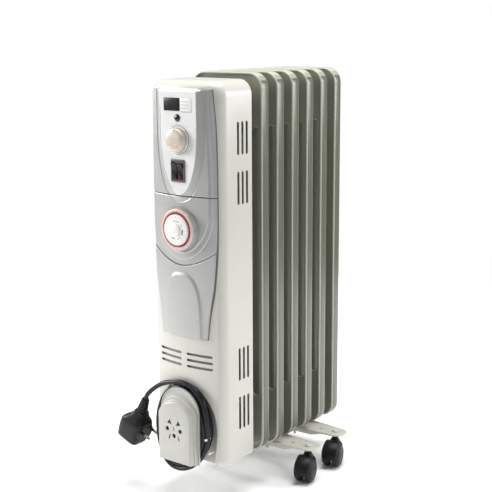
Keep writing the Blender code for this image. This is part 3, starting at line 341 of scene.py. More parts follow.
def rounded(half_width, low, high, corner, steps):
    """A rectangle with rounded corners."""
    points = []
    for start, side, z in ((0, 1, high - corner), (90, -1, high - corner),
                           (180, -1, low + corner), (270, 1, low + corner)):
        points += arc(side * (half_width - corner), z, corner, start, start + 90, steps)
    return points


def stadium(centre_x, low, high, radius, steps=8):
    points = arc(centre_x, high - radius, radius, 0, 180, steps)
    return points + arc(centre_x, low + radius, radius, 180, 360, steps)


def inset(outline, distance):
    moved = []
    count = len(outline)
    for i in range(count):
        before, here, after = (Vector(outline[(i + d) % count]) for d in (-1, 0, 1))
        first = (here - before).normalized()
        second = (after - here).normalized()
        normal = Vector((-(first.y + second.y), first.x + second.x)).normalized()
        share = max(0.5, normal.dot(Vector((-first.y, first.x))))
        moved.append(tuple(here + normal * (distance / share)))
    return moved


def at_y(outline, y):
    return [(x, y, z) for x, z in outline]


def at_z(outline, z):
    return [(x, y, z) for x, y in outline]


# ---------------------------------------------------------------- mesh tools
ABOUT_X = Matrix.Rotation(math.radians(90), 4, "X")
ABOUT_Z = Matrix.Rotation(math.radians(90), 4, "Z")
WELD = 0.000003
CHAMFER_STEPS = 3


def join(bm, a, b):
    """A band of faces between two closed rows of vertices."""
    count = len(a)
    for i in range(count):
        j = (i + 1) % count
        bm.faces.new((a[i], a[j], b[j], b[i]))


def loft(sections, closed=False):
    """Joins sections one after the other: a capped body, or a tube that closes on itself."""
    bm = bmesh.new()
    rows = [[bm.verts.new(point) for point in section] for section in sections]
    for a, b in zip(rows, rows[1:] + rows[:1] if closed else rows[1:]):
        join(bm, a, b)
    if not closed:
        bm.faces.new(rows[0])
        bm.faces.new(rows[-1])
    return bm


def prism(outline, y_front, y_rear, chamfer=0.0):
    """An outline stretched along Y, with a rounded front edge if chamfer is given."""
    sections = []
    for i in range(CHAMFER_STEPS if chamfer else 0):
        turn = math.pi / 2 * i / CHAMFER_STEPS
        sections.append(at_y(inset(outline, chamfer * (1 - math.sin(turn))),
                             y_front + chamfer * (1 - math.cos(turn))))
    return loft(sections + [at_y(outline, y_front + chamfer), at_y(outline, y_rear)])


def lathe(profile, segments=64, centre=(0.0, 0.0), start=0.0):
    """Turned about a line along Y; profile holds (y counted from start, radius)."""
    return loft([at_y(circle(radius, segments, centre), start + y) for y, radius in profile])


def hoop(profile, segments, centre, start=0.0):
    """Turned like lathe, but a ring with an open middle."""
    return loft([at_y(circle(radius, segments, centre), start + y) for y, radius in profile],
                closed=True)


def turned(bm, matrix):
    bm.transform(matrix)
    return bm


def merge(*parts):
    """Puts several meshes into one."""
    whole = bmesh.new()
    for part in parts:
        mesh = bpy.data.meshes.new("part")
        part.to_mesh(mesh)
        part.free()
        whole.from_mesh(mesh)
        bpy.data.meshes.remove(mesh)
    return whole


def raw(bm):
    bmesh.ops.recalc_face_normals(bm, faces=bm.faces)
    mesh = bpy.data.meshes.new("operand")
    bm.to_mesh(mesh)
    bm.free()
    made = bpy.data.objects.new("operand", mesh)
    bpy.context.collection.objects.link(made)
    return made


def combine(first, others, operation="DIFFERENCE"):
    """A Boolean of the first mesh with each of the others; it uses them all up."""
    target = raw(first)
    tools = [raw(other) for other in others]
    for tool in tools:
        step = target.modifiers.new("cut", "BOOLEAN")
        step.operation = operation
        step.solver = "EXACT"
        step.object = tool
    bpy.context.view_layer.update()
    result = bmesh.new()
    result.from_object(target, bpy.context.evaluated_depsgraph_get())
    for spare in [target] + tools:
        mesh = spare.data
        bpy.data.objects.remove(spare)
        bpy.data.meshes.remove(mesh)
    bmesh.ops.remove_doubles(result, verts=result.verts, dist=WELD)
    bmesh.ops.dissolve_degenerate(result, edges=result.edges, dist=WELD)
    return result


def build(name, bm, finish, on="heater", instead=(), bevel=0.0, sharp=30.0, origin=None,
          bevel_segments=3):
    """Makes the object, in its place, with its material; it rides on the body given."""
    bmesh.ops.recalc_face_normals(bm, faces=bm.faces)
    shift = Vector((0.0, -MIDDLE_Y, 0.0))
    origin = Vector(origin) + shift if origin is not None else Vector((0.0, 0.0, 0.0))
    bm.transform(Matrix.Translation(shift - origin))
    mesh = bpy.data.meshes.new(name)
    bm.to_mesh(mesh)
    bm.free()
    mesh.materials.append(MATERIALS[finish])
    mesh.shade_smooth()
    mesh.set_sharp_from_angle(angle=math.radians(sharp))
    piece = bpy.data.objects.new(name, mesh)
    piece.location = origin
    if bevel:
        step = piece.modifiers.new("edges", "BEVEL")
        step.width = bevel
        step.segments = bevel_segments
        step.limit_method = "ANGLE"
        step.angle_limit = math.radians(40)
        step.harden_normals = True
    return place(piece, finish, on, instead)


def place(piece, finish, on, instead):
    """Links the object, on its body, in place of the CAD nodes that it stands for."""
    bpy.context.collection.objects.link(piece)
    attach(piece, on)
    if instead:
        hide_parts(*([instead] if isinstance(instead, str) else instead))
    return piece


def tube(points, radius, sides):
    """A round bar through 3-D points."""
    sections = []
    side = None
    for i, point in enumerate(points):
        before = Vector(points[max(i - 1, 0)])
        after = Vector(points[min(i + 1, len(points) - 1)])
        along = (after - before).normalized()
        if side is None:
            side = along.cross(Vector((1.0, 0.0, 0.0)))
        side = (side - along * side.dot(along)).normalized()
        other = along.cross(side)
        sections.append([tuple(Vector(point) + side * a + other * b)
                         for a, b in circle(radius, sides)])
    return loft(sections)


def smooth_route(points, steps):
    """A Catmull-Rom curve through points of any dimension."""
    padded = [points[0]] + list(points) + [points[-1]]
    route = []
    for k in range(1, len(padded) - 2):
        p0, p1, p2, p3 = (Vector(padded[k + d]) for d in (-1, 0, 1, 2))
        for i in range(steps):
            t = i / steps
            route.append(tuple(0.5 * ((2 * p1) + (p2 - p0) * t
                                      + (2 * p0 - 5 * p1 + 4 * p2 - p3) * t * t
                                      + (3 * p1 - p0 - 3 * p2 + p3) * t ** 3)))
    route.append(tuple(points[-1]))
    return route


def ease(value):
    """0 up to 0, 1 from 1 on, and a smooth rise between."""
    value = min(1.0, max(0.0, value))
    return value * value * (3 - 2 * value)


def crown(x):
    """How far the box's front bulges forward at x."""
    return CROWN * max(0.0, 1.0 - (x / CROWN_HALF_WIDTH) ** 2)


# ---------------------------------------------------------------- camera, lights, floor
LENS = 80.1
CAMERA_PLACE = Vector((1.025, -1.174 - MIDDLE_Y, 0.705))
CAMERA_AIM = Vector((-0.007, 0.15 - MIDDLE_Y, 0.3609))
CAMERA_ROLL = math.radians(-0.36)
AMBIENT = 0.26
# Name, place, size in metres, power in watts.
LAMPS = (("key", (-2.5, -1.35, 1.4), 1.3, 98.0),
         ("side", (2.3, 1.6, 1.2), 1.3, 29.0),
         ("rear", (0.9, 0.85, 0.75), 0.5, 4.0),
         ("top", (0.1, 0.2, 2.6), 1.6, 70.0))
LAMP_AIM = Vector((0.0, 0.0, 0.32))
FLOOR_RADIUS = 1.4


def aimed(direction):
    return direction.to_track_quat("-Z", "Y").to_matrix().to_4x4()


def make_camera():
    data = bpy.data.cameras.new("camera")
    data.lens = LENS
    data.clip_start = 0.05
    camera = bpy.data.objects.new("camera", data)
    bpy.context.collection.objects.link(camera)
    camera.location = CAMERA_PLACE
    roll = Matrix.Rotation(CAMERA_ROLL, 4, "Z")
    camera.rotation_euler = (aimed(CAMERA_AIM - CAMERA_PLACE) @ roll).to_euler()
    bpy.context.scene.camera = camera
    bpy.context.scene.view_settings.view_transform = "Standard"


def make_world():
    """White where the camera sees it, and a dimmer light on everything else."""
    world = bpy.data.worlds.new("studio")
    world.use_nodes = True
    tree = world.node_tree
    background = tree.nodes["Background"]
    background.inputs["Color"].default_value = (1.0, 1.0, 1.0, 1.0)
    path = tree.nodes.new("ShaderNodeLightPath")
    strength = tree.nodes.new("ShaderNodeMapRange")
    strength.inputs["To Min"].default_value = AMBIENT
    strength.inputs["To Max"].default_value = 1.0
    tree.links.new(path.outputs["Is Camera Ray"], strength.inputs["Value"])
    tree.links.new(strength.outputs["Result"], background.inputs["Strength"])
    bpy.context.scene.world = world


def make_lamps():
    for name, spot, size, power in LAMPS:
        data = bpy.data.lights.new(name, "AREA")
        data.size = size
        data.energy = power
        lamp = bpy.data.objects.new(name, data)
        bpy.context.collection.objects.link(lamp)
        lamp.location = spot
        lamp.visible_camera = False
        lamp.rotation_euler = aimed(LAMP_AIM - Vector(spot)).to_euler()


def make_floor():
    bm = bmesh.new()
    bm.faces.new([bm.verts.new(point) for point in at_z(circle(FLOOR_RADIUS, 96), 0.0)])
    mesh = bpy.data.meshes.new("floor")
    bm.to_mesh(mesh)
    bm.free()
    floor = bpy.data.objects.new("floor", mesh)
    n = Nodes("floor_paper")
    tint = n.ramp(n.noise(2.0, 3.0), [(0.3, (0.95, 0.95, 0.95)), (0.7, (0.97, 0.97, 0.97))])
    mesh.materials.append(n.finish(tint, 0.7, n.bump(n.noise(200.0, 3.0), 0.05, 0.0001)))
    bpy.context.collection.objects.link(floor)


# ---------------------------------------------------------------- cord
# Where the cord moves to its next lane (0 the inner one) and layer (0 the rear one), in degrees
# of winding; each move takes SHIFT degrees.
SHIFT = 45.0
WINDING_STEP = 7.5
COIL_START = 178.0
COIL_END = 1545.0
LANE_MOVES = (1135.0, 1450.0)
LAYER_MOVES = (460.0, 820.0)
WOBBLE = 0.0004


def coil_point(angle, half_x, half_z):
    sag = min(0.0, math.sin(angle))
    return (half_x * math.cos(angle) - COIL_LEAN * sag * sag, COIL_Z + half_z * math.sin(angle))


def cord_route():
    """The cord's centre line: out of the gland, round the hub, and off to the plug."""
    route = [(GLAND_X, COIL_REAR_Y, z) for z in (GLAND_LOW - GAP, GLAND_LOW - 0.0015)]
    angle = COIL_START + 3.0
    while angle <= COIL_END:
        lane = sum(ease((angle - move) / SHIFT) for move in LANE_MOVES)
        layer = sum(ease((angle - move) / SHIFT) for move in LAYER_MOVES)
        out = (1.5 - lane) * CORD_DIAMETER - (GAP if lane > 1.5 else 0.0)
        turn = math.radians(angle)
        wobble = WOBBLE * math.sin(3.1 * turn + 0.7)
        x, z = coil_point(turn, COIL_OUT_X - out, COIL_OUT_Z - out)
        route.append((x, COIL_REAR_Y - layer * LAYER + wobble * (lane > 1.0), z))
        angle += WINDING_STEP
    last = route[-1]
    tail = smooth_route([(last[0], last[2])] + list(TAIL_RUN), 3)[1:]
    return route + at_y(tail, TAIL_Y)


def make_cord():
    route = [(x, y - MIDDLE_Y, z) for x, y, z in cord_route()]
    curve = bpy.data.curves.new("mains_cord", "CURVE")
    curve.dimensions = "3D"
    curve.bevel_depth = CORD_DIAMETER / 2
    curve.bevel_resolution = 6
    curve.use_fill_caps = True
    line = curve.splines.new("POLY")
    line.points.add(len(route) - 1)
    for point, spot in zip(line.points, route):
        point.co = (*spot, 1.0)
    line.use_smooth = True
    curve.materials.append(MATERIALS["cord"])
    cord = place(bpy.data.objects.new("mains_cord", curve), "cord", "heater",
                 ("cord_coil", "cord_tail"))
    make_gland()
    make_plug()


def make_gland():
    """A tapered strain relief with grooves round it, under a small square block."""
    top, sections = GLAND_HIGH + 0.0035, []
    for i in range(29):
        part = i / 28
        groove = 0.0009 if part > 0.2 and i % 4 in (1, 2) else 0.0
        sections.append(at_z(circle(0.0044 - 0.0008 * part - groove, 24, (GLAND_X, COIL_REAR_Y)),
                             top - part * (top - GLAND_LOW)))
    half = 0.0034
    block = prism(rectangle(GLAND_X - half, GLAND_X + half, GLAND_HIGH, GLAND_HIGH + 0.0100),
                  COIL_REAR_Y - half, WELL_Y - GAP)
    build("cord_gland_relief", merge(loft(sections), block), "plug", instead="cord_gland",
          bevel=0.0004)


def squarish(middle, reach, half, z, power=0.40):
    """A section of the plug's body: an oval drawn out towards its corners."""
    return [(middle + reach * math.copysign(abs(c) ** power, c),
             half * math.copysign(abs(s) ** power, s), z) for c, s in circle(1.0, 48)]


def make_plug():
    """Angled plug: rounded body with a ribbed collar, a flat front and two round pins."""
    stand = (Matrix.Translation((PLUG_X, TAIL_Y, PLUG_Z))
             @ Matrix.Rotation(-PIN_TILT, 4, "Y"))
    # Height, left end, right end and half thickness of each section.
    spine = ((-0.0250, -0.0185, 0.0105, 0.0120), (-0.0246, -0.0215, 0.0135, 0.0145),
             (-0.0232, -0.0235, 0.0155, 0.0162), (-0.0150, -0.0243, 0.0168, 0.0176),
             (0.0, -0.0245, 0.0175, 0.0184), (0.0080, -0.0240, 0.0175, 0.0182),
             (0.0108, -0.0222, 0.0172, 0.0176), (0.0165, -0.0155, 0.0150, 0.0152),
             (0.0205, -0.0115, 0.0115, 0.0122), (0.0250, -0.0098, 0.0098, 0.0098),
             (0.0290, -0.0090, 0.0090, 0.0090))
    body = loft([squarish((left + right) / 2, (right - left) / 2, half, z)
                 for z, left, right, half in spine])
    collar = []
    for i in range(33):
        part = i / 32
        groove = 0.0011 if i % 6 in (3, 4) and 2 < i < 31 else 0.0
        collar.append(at_z(circle(0.0088 - 0.0028 * part - groove, 32), 0.0285 + 0.0225 * part))
    face = [[(x, y, z) for y, z in circle(radius, 40, (0.0, -0.0010))]
            for x, radius in ((0.0150, 0.0155), (0.0188, 0.0155), (0.0194, 0.96 * 0.0155))]
    whole = turned(merge(body, loft(collar), loft(face)), stand)
    pieces = [build("plug_moulding", whole, "plug", instead="plug_body", sharp=38)]
    for name, side in (("plug_pin_1", -1), ("plug_pin_2", 1)):
        centre = (side * 0.0093, side * 0.0015 + 0.0040)
        tip = lathe(((-0.0357, 0.0009), (-0.0353, 0.0016), (-0.0340, 0.0021), (-0.0325, 0.0022),
                     (-0.0260, 0.0022)), 24, centre)
        sleeve = lathe(((-0.0262, 0.0019), (-0.0258, 0.00222), (-0.0185, 0.00222)), 24, centre)
        pieces.append(build(name + "_tip", turned(tip, stand @ ABOUT_Z), "brass", instead=name))
        pieces.append(build(name + "_sleeve", turned(sleeve, stand @ ABOUT_Z), "plug"))
    return pieces


# ---------------------------------------------------------------- fins
SLOT_X, SLOT_LOW, SLOT_HIGH, SLOT_RADIUS = 0.0500, 0.1410, 0.5530, 0.0100
CHAMBER_HALF_WIDTH, CHAMBER_FROM_END, CHAMBER_CORNER = 0.033, 0.022, 0.018
FULL_SHEET_DEPTH, SMALL_SHEET_DEPTH = 0.0165, 0.0125
# Material slots for the fins' painted highlights and painted shade.
BEAD_HIGHLIGHT_SLOT, FOLD_HIGHLIGHT_SLOT, WEB_SHADE_SLOT = 1, 2, 3
# The chamber's two halves: how far each ring stands outside its outline, and at which y.
CHAMBER_GROW = (0.0045, 0.0024, 0.0010, 0.0003, -0.0004, -0.0016, -0.0034, -0.0060)
CHAMBER_FRONT = (0.0038, 0.0031, 0.0021, 0.0009, -0.0006, -0.0018, -0.0024, -0.0025)
CHAMBER_REAR = (0.0044, 0.0051, 0.0062, 0.0080, 0.0096, 0.0108, 0.0114, 0.0115)
# The joining cups: the radius of each ring, and its y before and behind the chamber.
CUP_RADII = (0.0272, 0.0262, 0.0246, 0.0230, 0.0221, 0.0219, 0.0219, 0.0224, 0.0230, 0.0226,
             0.0180)
CUP_FRONT = (-0.0010, -0.0028, -0.0036, -0.0046, -0.0062, -0.0080, -0.0136, -0.0144, -0.0150,
             -0.0153, -0.01535)
CUP_REAR = (0.0100, 0.0118, 0.0126, 0.0136, 0.0152, 0.0168, 0.0214, 0.0222, 0.0228, 0.0230,
            0.02295)
END_BUTTON = ((0.0110, 0.0190), (0.0117, 0.0186), (0.0122, 0.0176), (0.0124, 0.0160))


def rim_distance(x, z, half_width, low, high, corner):
    """Distance inwards from a fin's outline, which is a rounded rectangle."""
    over_x = abs(x) - (half_width - corner)
    over_z = max(low + corner - z, z - (high - corner))
    if over_x > 0 and over_z > 0:
        return corner - math.hypot(over_x, over_z)
    return corner - max(over_x, over_z)


def air_slot(side, grow):
    return stadium(side * SLOT_X, SLOT_LOW - grow, SLOT_HIGH + grow, SLOT_RADIUS + grow, 14)


def fin_plate(sheet, slotted):
    """The pressed sheet with its rolled rim, open at its air slots if it has them."""
    half_width, low, high, back = sheet
    corner = FIN_CORNER - (FIN_HALF_WIDTH - half_width)
    rim = ((0.0064, 0.0034), (0.0046, 0.0031), (0.0036, 0.0022), (0.0030, 0.0009),
           (0.0023, 0.0002), (0.0015, 0.0), (0.0007, 0.0003), (0.0002, 0.0009), (0.0, 0.0018),
           (0.0, back - 0.0013), (0.0003, back - 0.0004), (0.0010, back),
           (0.0018, back - 0.0002), (0.0022, back - 0.0009), (0.0022, 0.0074),
           (0.0028, 0.0056), (0.0046, 0.0048))
    plate = loft([at_y(rounded(half_width - extra, low + extra, high - extra, corner - extra, 9), y)
                  for extra, y in rim])
    if slotted:
        plate = combine(plate, [prism(air_slot(side, 0.0004), 0.0, 0.009) for side in (-1, 1)])
    # Painted highlight on the rolled front bead, the rear fold and along the top. Painted shade on
    # the web. The rest keeps the darkest painted shade.
    for face in plate.faces:
        middle = face.calc_center_median()
        under_top = high - middle.z
        reach = rim_distance(middle.x, middle.z, half_width, low, high, corner)
        if reach < 0.0030 and middle.y < 0.0016:
            face.material_index = BEAD_HIGHLIGHT_SLOT
        elif reach < 0.0026 and middle.y > back - 0.0012:
            face.material_index = FOLD_HIGHLIGHT_SLOT
        elif reach > 0.0016:
            face.material_index = WEB_SHADE_SLOT
        elif under_top < 0.0120:
            face.material_index = BEAD_HIGHLIGHT_SLOT if under_top < 0.0050 else FOLD_HIGHLIGHT_SLOT
    return plate


def slot_lips(slotted):
    """The flange round each air slot; the last fin's slots have a floor instead of a hole."""
    flange = ((0.0022, 0.0035), (0.0016, 0.0029), (0.0008, 0.0027), (0.0001, 0.0031),
              (-0.0002, 0.0040), (-0.0002, 0.0074), (0.0002, 0.0078), (0.0008, 0.0076),
              (0.0010, 0.0056), (0.0020, 0.0046))
    dent = ((0.0004, 0.0036), (-0.0002, 0.0046), (-0.0006, 0.0052), (-0.0030, 0.0053))
    lips = []
    for side in (-1, 1):
        if not slotted:
            lips.append(loft([at_y(air_slot(side, grow), y) for grow, y in dent]))
        lips.append(loft([at_y(air_slot(side, grow), y) for grow, y in flange], closed=True))
    return lips


def chamber_half(places):
    rings = []
    for grow, y in zip(CHAMBER_GROW, places):
        outline = rounded(CHAMBER_HALF_WIDTH + grow, FIN_LOW + CHAMBER_FROM_END - grow,
                          FIN_HIGH - CHAMBER_FROM_END + grow, CHAMBER_CORNER + grow, 7)
        rings.append(at_y(outline, y))
    return loft(rings)


def fin_mesh(sheet, front_cups, rear_cups, slotted=True):
    """A fin at y = 0; the cups are given as (lower, upper)."""
    pressed = slot_lips(slotted) + [chamber_half(CHAMBER_FRONT), chamber_half(CHAMBER_REAR)]
    # The pressed chamber and slot lips take the web's painted shade.
    for part in pressed:
        for face in part.faces:
            face.material_index = WEB_SHADE_SLOT
    cups = []
    for z, front, rear in zip((FIN_LOW + CUP_FROM_END, FIN_HIGH - CUP_FROM_END), front_cups,
                              rear_cups):
        if front:
            cups.append(lathe(zip(CUP_FRONT, CUP_RADII), 48, (0.0, z)))
        cups.append(lathe(zip(CUP_REAR, CUP_RADII) if rear else END_BUTTON, 48, (0.0, z)))
    return merge(fin_plate(sheet, slotted), *pressed, *cups)


def make_fins():
    small = (0.0630, 0.0600, 0.6210, SMALL_SHEET_DEPTH)
    full = (FIN_HALF_WIDTH, FIN_LOW, FIN_HIGH, FULL_SHEET_DEPTH)
    shapes = {"first": fin_mesh(small, (True, False), (True, True)),
              "middle": fin_mesh(full, (True, True), (True, True)),
              "last": fin_mesh(full, (True, True), (False, False), False)}
    for number in range(1, FIN_COUNT + 1):
        kind = "first" if number == 1 else "last" if number == FIN_COUNT else "middle"
        bm = shapes[kind].copy()
        bm.transform(Matrix.Translation((0.0, FIRST_FIN_Y + (number - 1) * FIN_PITCH, 0.0)))
        piece = build(f"fin_{number}_pressing", bm, "painted_shade_on_fins", instead=f"fin_{number}", sharp=35)
        # Adds the painted highlight and painted shade tones of bead, fold and web.
        for finish in ("painted_highlight_on_beads", "painted_highlight_on_folds", "painted_shade_on_webs"):
            piece.data.materials.append(MATERIALS[finish])
    for bm in shapes.values():
        bm.free()


# ---------------------------------------------------------------- control box
CORNER_STEPS, FILLET_STEPS, FLAT_STEPS = 10, 14, 26
SIDE_VENTS = ((0.1090, 0.1600), (0.1850, 0.2350), (0.4480, 0.4960), (0.5195, 0.5670))


def box_surface(bm, shrink):
    """The box's outer skin, or with shrink its inner one; returns the rear row of vertices."""
    half = BOX_HALF_WIDTH - BOX_FILLET
    high = BOX_HIGH - BOX_FILLET
    low = BOX_LOW + BOX_FILLET
    corner_high = BOX_CORNER_HIGH - BOX_FILLET
    corner_low = BOX_CORNER_LOW - BOX_FILLET
    top = arc(half - corner_high, high - corner_high, corner_high, 0, 90, CORNER_STEPS)
    top += [((half - corner_high) * (1 - 2 * i / FLAT_STEPS), high) for i in range(1, FLAT_STEPS)]
    top += arc(corner_high - half, high - corner_high, corner_high, 90, 180, CORNER_STEPS)

    def bend(x, corner):
        over = abs(x) - (half - corner)
        turn = 0.0 if over <= 0 else math.asin(min(1.0, over / corner))
        return math.copysign(math.sin(turn), x), math.cos(turn)

    edge = [(x, z, bend(x, corner_high)) for x, z in top]
    for x, _ in reversed(top):
        nx, nz = bend(x, corner_low)
        edge.append((x, low + corner_low * (1 - nz), (nx, -nz)))
    rings = []
    radius = BOX_FILLET - shrink
    for step in range(FILLET_STEPS + 1):
        turn = math.pi / 2 * step / FILLET_STEPS
        out = radius * abs(math.sin(turn)) ** (2 / FILLET_POWER)
        deep = (FILLET_DEPTH - shrink) * (1 - abs(math.cos(turn)) ** (2 / FILLET_POWER))
        rings.append([bm.verts.new((x + nx * out, -crown(x) + shrink + deep, z + nz * out))
                      for x, z, (nx, nz) in edge])
    rings.append([bm.verts.new((v.co.x, BOX_DEPTH, v.co.z)) for v in rings[-1]])
    for a, b in zip(rings, rings[1:]):
        join(bm, a, b)
    front, columns = rings[0], len(top)
    for i in range(columns - 1):
        bm.faces.new((front[i], front[i + 1], front[2 * columns - 2 - i],
                      front[2 * columns - 1 - i]))
    return rings[-1]


def half_oval(half_x, half_z, middle_z, steps):
    """Half an oval and a little more, open at the bottom."""
    turns = [math.radians(-10 + 200 * i / steps) for i in range(steps + 1)]
    return [(half_x * math.cos(turn), middle_z + half_z * math.sin(turn)) for turn in turns]


def well_outline(grow):
    low, shoulder_z = BOX_LOW - 0.01, 0.0880
    return half_oval(COIL_OUT_X + grow, COIL_OUT_Z + grow, COIL_Z, 30) + [
        (-0.0505 - grow, shoulder_z), (-0.0455 - grow, low), (0.0455 + grow, low),
        (0.0505 + grow, shoulder_z)]


def make_box():
    bm = bmesh.new()
    join(bm, box_surface(bm, 0.0), box_surface(bm, BOX_WALL))
    cuts = [prism(well_outline(0.0035), -0.03, WELL_Y + 0.0022),
            prism(rectangle(-0.0120, 0.0120, SWITCH_Z - 0.0156, SWITCH_Z + 0.0156), -0.03, 0.006)]
    for z, radius in ((KNOB_Z, 0.006), (TIMER_Z, 0.006), (LAMP_Z, 0.0036)):
        cuts.append(lathe(((-0.03, radius), (0.006, radius)), 24, (0.0, z)))
    for side in (-1, 1):
        wall = Matrix.Translation((side * BOX_HALF_WIDTH, 0.0, 0.0)) @ ABOUT_Z
        for low, high in SIDE_VENTS:
            for column in range(3):
                slot = stadium(0.0385 + 0.0100 * column, low, high, 0.0025)
                cuts.append(turned(prism(slot, -0.004, 0.004), wall))
        for row in range(3):
            slot = [(side * 0.0273 + b, 0.2085 + 0.0094 * row + a)
                    for a, b in stadium(0.0, -0.0222, 0.0222, 0.0020)]
            cuts.append(prism(slot, -0.02, 0.02))
    build("box_casing", combine(bm, cuts), "paint", instead="box_shell", bevel=0.0005, sharp=28,
          bevel_segments=2)
    outline = [(x, max(z, BOX_LOW + 0.0001)) for x, z in well_outline(0.0031)]
    tray = combine(prism(outline, -0.0008, WELL_Y + 0.0016),
                   [prism(well_outline(0.0017), -0.02, WELL_Y)])
    build("winder_well_tray", tray, "paint", instead="winder_well", bevel=0.0003, sharp=28)


# ---------------------------------------------------------------- front trim
# The trim's edge, as (z, half width).
TRIM_EDGE = ((TRIM_LOW, 0.0430), (0.2860, 0.0470), (0.3270, 0.0545), (0.3890, 0.0592),
             (0.4640, 0.0600), (0.5570, 0.0585), (TRIM_HIGH, 0.0540))
TRIM_ROUND = 0.0013
SEAM_GAP = 0.0007
PAD_HALF_WIDTH, PAD_LOW, PAD_HEIGHT, PAD_RISE = 0.0350, 0.2587, 0.0925, 0.0021
UPPER_RISE = 0.0038
# Two steps back, going outwards: half width at the top and lower down, lowest z, depth.
FLUTES = ((0.0450, 0.0490, 0.3790, 0.0015), (0.0500, 0.0562, 0.3700, 0.0012))
FLUTE_BEND_Z, FLUTE_EDGE = 0.450, 0.0014
CONSOLE_HALF_WIDTH, CONSOLE_BEND_Z, CONSOLE_REACH = 0.0338, 0.5520, 0.0880
CONSOLE_SLOPE = 0.0098
TIMER_RECESS, RECESS_DEPTH = 0.0325, 0.0011


def trim_half_width(z):
    """A smooth curve through the points of TRIM_EDGE."""
    k = sum(z > height for height, _ in TRIM_EDGE[1:-1])
    (z0, w0), (z1, w1) = TRIM_EDGE[k:k + 2]
    before, after = TRIM_EDGE[max(k - 1, 0)], TRIM_EDGE[min(k + 2, len(TRIM_EDGE) - 1)]
    t = min(1.0, max(0.0, (z - z0) / (z1 - z0)))
    m0 = (w1 - before[1]) / (z1 - before[0]) * (z1 - z0)
    m1 = (after[1] - w0) / (after[0] - z0) * (z1 - z0)
    return ((2 * t ** 3 - 3 * t ** 2 + 1) * w0 + (t ** 3 - 2 * t ** 2 + t) * m0
            + (3 * t ** 2 - 2 * t ** 3) * w1 + (t ** 3 - t ** 2) * m1)


def seam_low(x):
    """The lower seam: lowest in the middle, rising to both edges."""
    return SEAM_LOW + 0.0240 * (abs(x) / 0.06) ** 1.8


def console_depth(x, z):
    """Distance inwards from the raised console's edge; negative outside it."""
    half, reach = CONSOLE_HALF_WIDTH, CONSOLE_REACH
    if z >= CONSOLE_BEND_Z:
        return half - abs(x)
    down = CONSOLE_BEND_Z - z
    q = math.hypot(x / half, down / reach)
    if q < 0.05:
        return half
    return (1.0 - q) * q / math.hypot(x / half ** 2, down / reach ** 2)


def flute(x, z, top, wide, bottom):
    """Distance outwards from a U-shaped line beside the console and under the timer."""
    half = top + (wide - top) * ease((TRIM_HIGH - z) / 0.15)
    if z >= FLUTE_BEND_Z:
        return abs(x) - half
    down, reach = FLUTE_BEND_Z - z, FLUTE_BEND_Z - bottom
    q = math.hypot(x / half, down / reach)
    slope = math.hypot(x / half ** 2, down / reach ** 2) / max(q, 0.05)
    return (q - 1.0) / max(slope, 1.0)


def front_face(x, z):
    """How far forward the silver trim stands at x, z: a y value."""
    if z < seam_low(x):
        up = max(0.0, (z - PAD_LOW) / PAD_HEIGHT)
        q = ((abs(x) / PAD_HALF_WIDTH) ** 3 + up ** 3) ** (1 / 3)
        y = -crown(x) - TRIM - PAD_RISE * ease((1.0 - q) * PAD_HALF_WIDTH / 0.0028)
    else:
        y = -crown(x) - UPPER_RISE
        for top, wide, bottom, depth in FLUTES:
            y += depth * ease(flute(x, z, top, wide, bottom) / FLUTE_EDGE)
    if z > SEAM_HIGH - 0.012:
        inside = console_depth(x, z)
        y += (min(TONGUE_Y, y) - y) * ease(1.0 + inside / CONSOLE_SLOPE)
        # A groove round the console's foot, and a fine line inside its left edge.
        y += 0.0009 * math.exp(-((inside + 0.0104) / 0.0006) ** 2)
        left_line = math.exp(-((inside - 0.0016) / 0.00042) ** 2)
        y += 0.0008 * left_line * ease(0.4 - x / 0.02) * ease((0.590 - z) / 0.004)
    out = math.hypot(x, z - TIMER_Z) - TIMER_RECESS
    return y + RECESS_DEPTH * (ease(1 - out / 0.0016) if out > 0 else 1.0)


def spaced(count, edge):
    """Positions 0 to 1 with extra ones close to both ends, for rounded edges."""
    near = [0.0, edge * 0.15, edge * 0.45, edge]
    inner = [edge + (1 - 2 * edge) * i / count for i in range(1, count)]
    return near + inner + [1 - p for p in reversed(near)]


def trim_plate(node, low, high, rows, columns):
    """A plate with the trim's front; low and high give its lower and upper edge at x."""
    bm = bmesh.new()
    upper = node == "upper_trim"
    height, width = high(0.0) - low(0.0), 0.11
    front, back = [], []
    for v in spaced(rows, TRIM_ROUND / height):
        front_row, back_row = [], []
        for u in spaced(columns, TRIM_ROUND / width):
            x = (2 * u - 1) * trim_half_width(low(0.0) + height * v)
            z = low(x) + (high(x) - low(x)) * v
            y = front_face(x, z)
            e = min(v * height, (1 - v) * height, u * width, (1 - u) * width)
            if e < TRIM_ROUND:
                y += TRIM_ROUND * 0.8 * (1 - math.sqrt(max(0.0, 1 - (1 - e / TRIM_ROUND) ** 2)))
            if upper:
                drop = max(0.0, -crown(x) - TRIM - y)
                y += drop * (1 - ease((TRIM_HIGH - z) / 0.0045)) * 0.8
            front_row.append(bm.verts.new((x, y, z)))
            back_row.append(bm.verts.new((x, -crown(x) - GAP, z)))
        front.append(front_row)
        back.append(back_row)
    close_sheets(bm, front, back)
    if upper:
        for face in bm.faces:
            middle = face.calc_center_median()
            face.material_index = int(console_depth(middle.x, middle.z) > -0.0006)
    piece = build(node + "_plate", bm, "trim", instead=node, sharp=50)
    piece.data.materials.append(MATERIALS["console"])


def close_sheets(bm, front, back):
    """Faces over two grids of vertices, and round the border between them."""
    for sheet in (front, back):
        for a, b in zip(sheet, sheet[1:]):
            for j in range(len(a) - 1):
                bm.faces.new((a[j], a[j + 1], b[j + 1], b[j]))
    border = [[sheet[0][j] for j in range(len(sheet[0]))] + [row[-1] for row in sheet[1:]]
              + sheet[-1][-2::-1] + [row[0] for row in sheet[-2:0:-1]] for sheet in (front, back)]
    join(bm, *border)


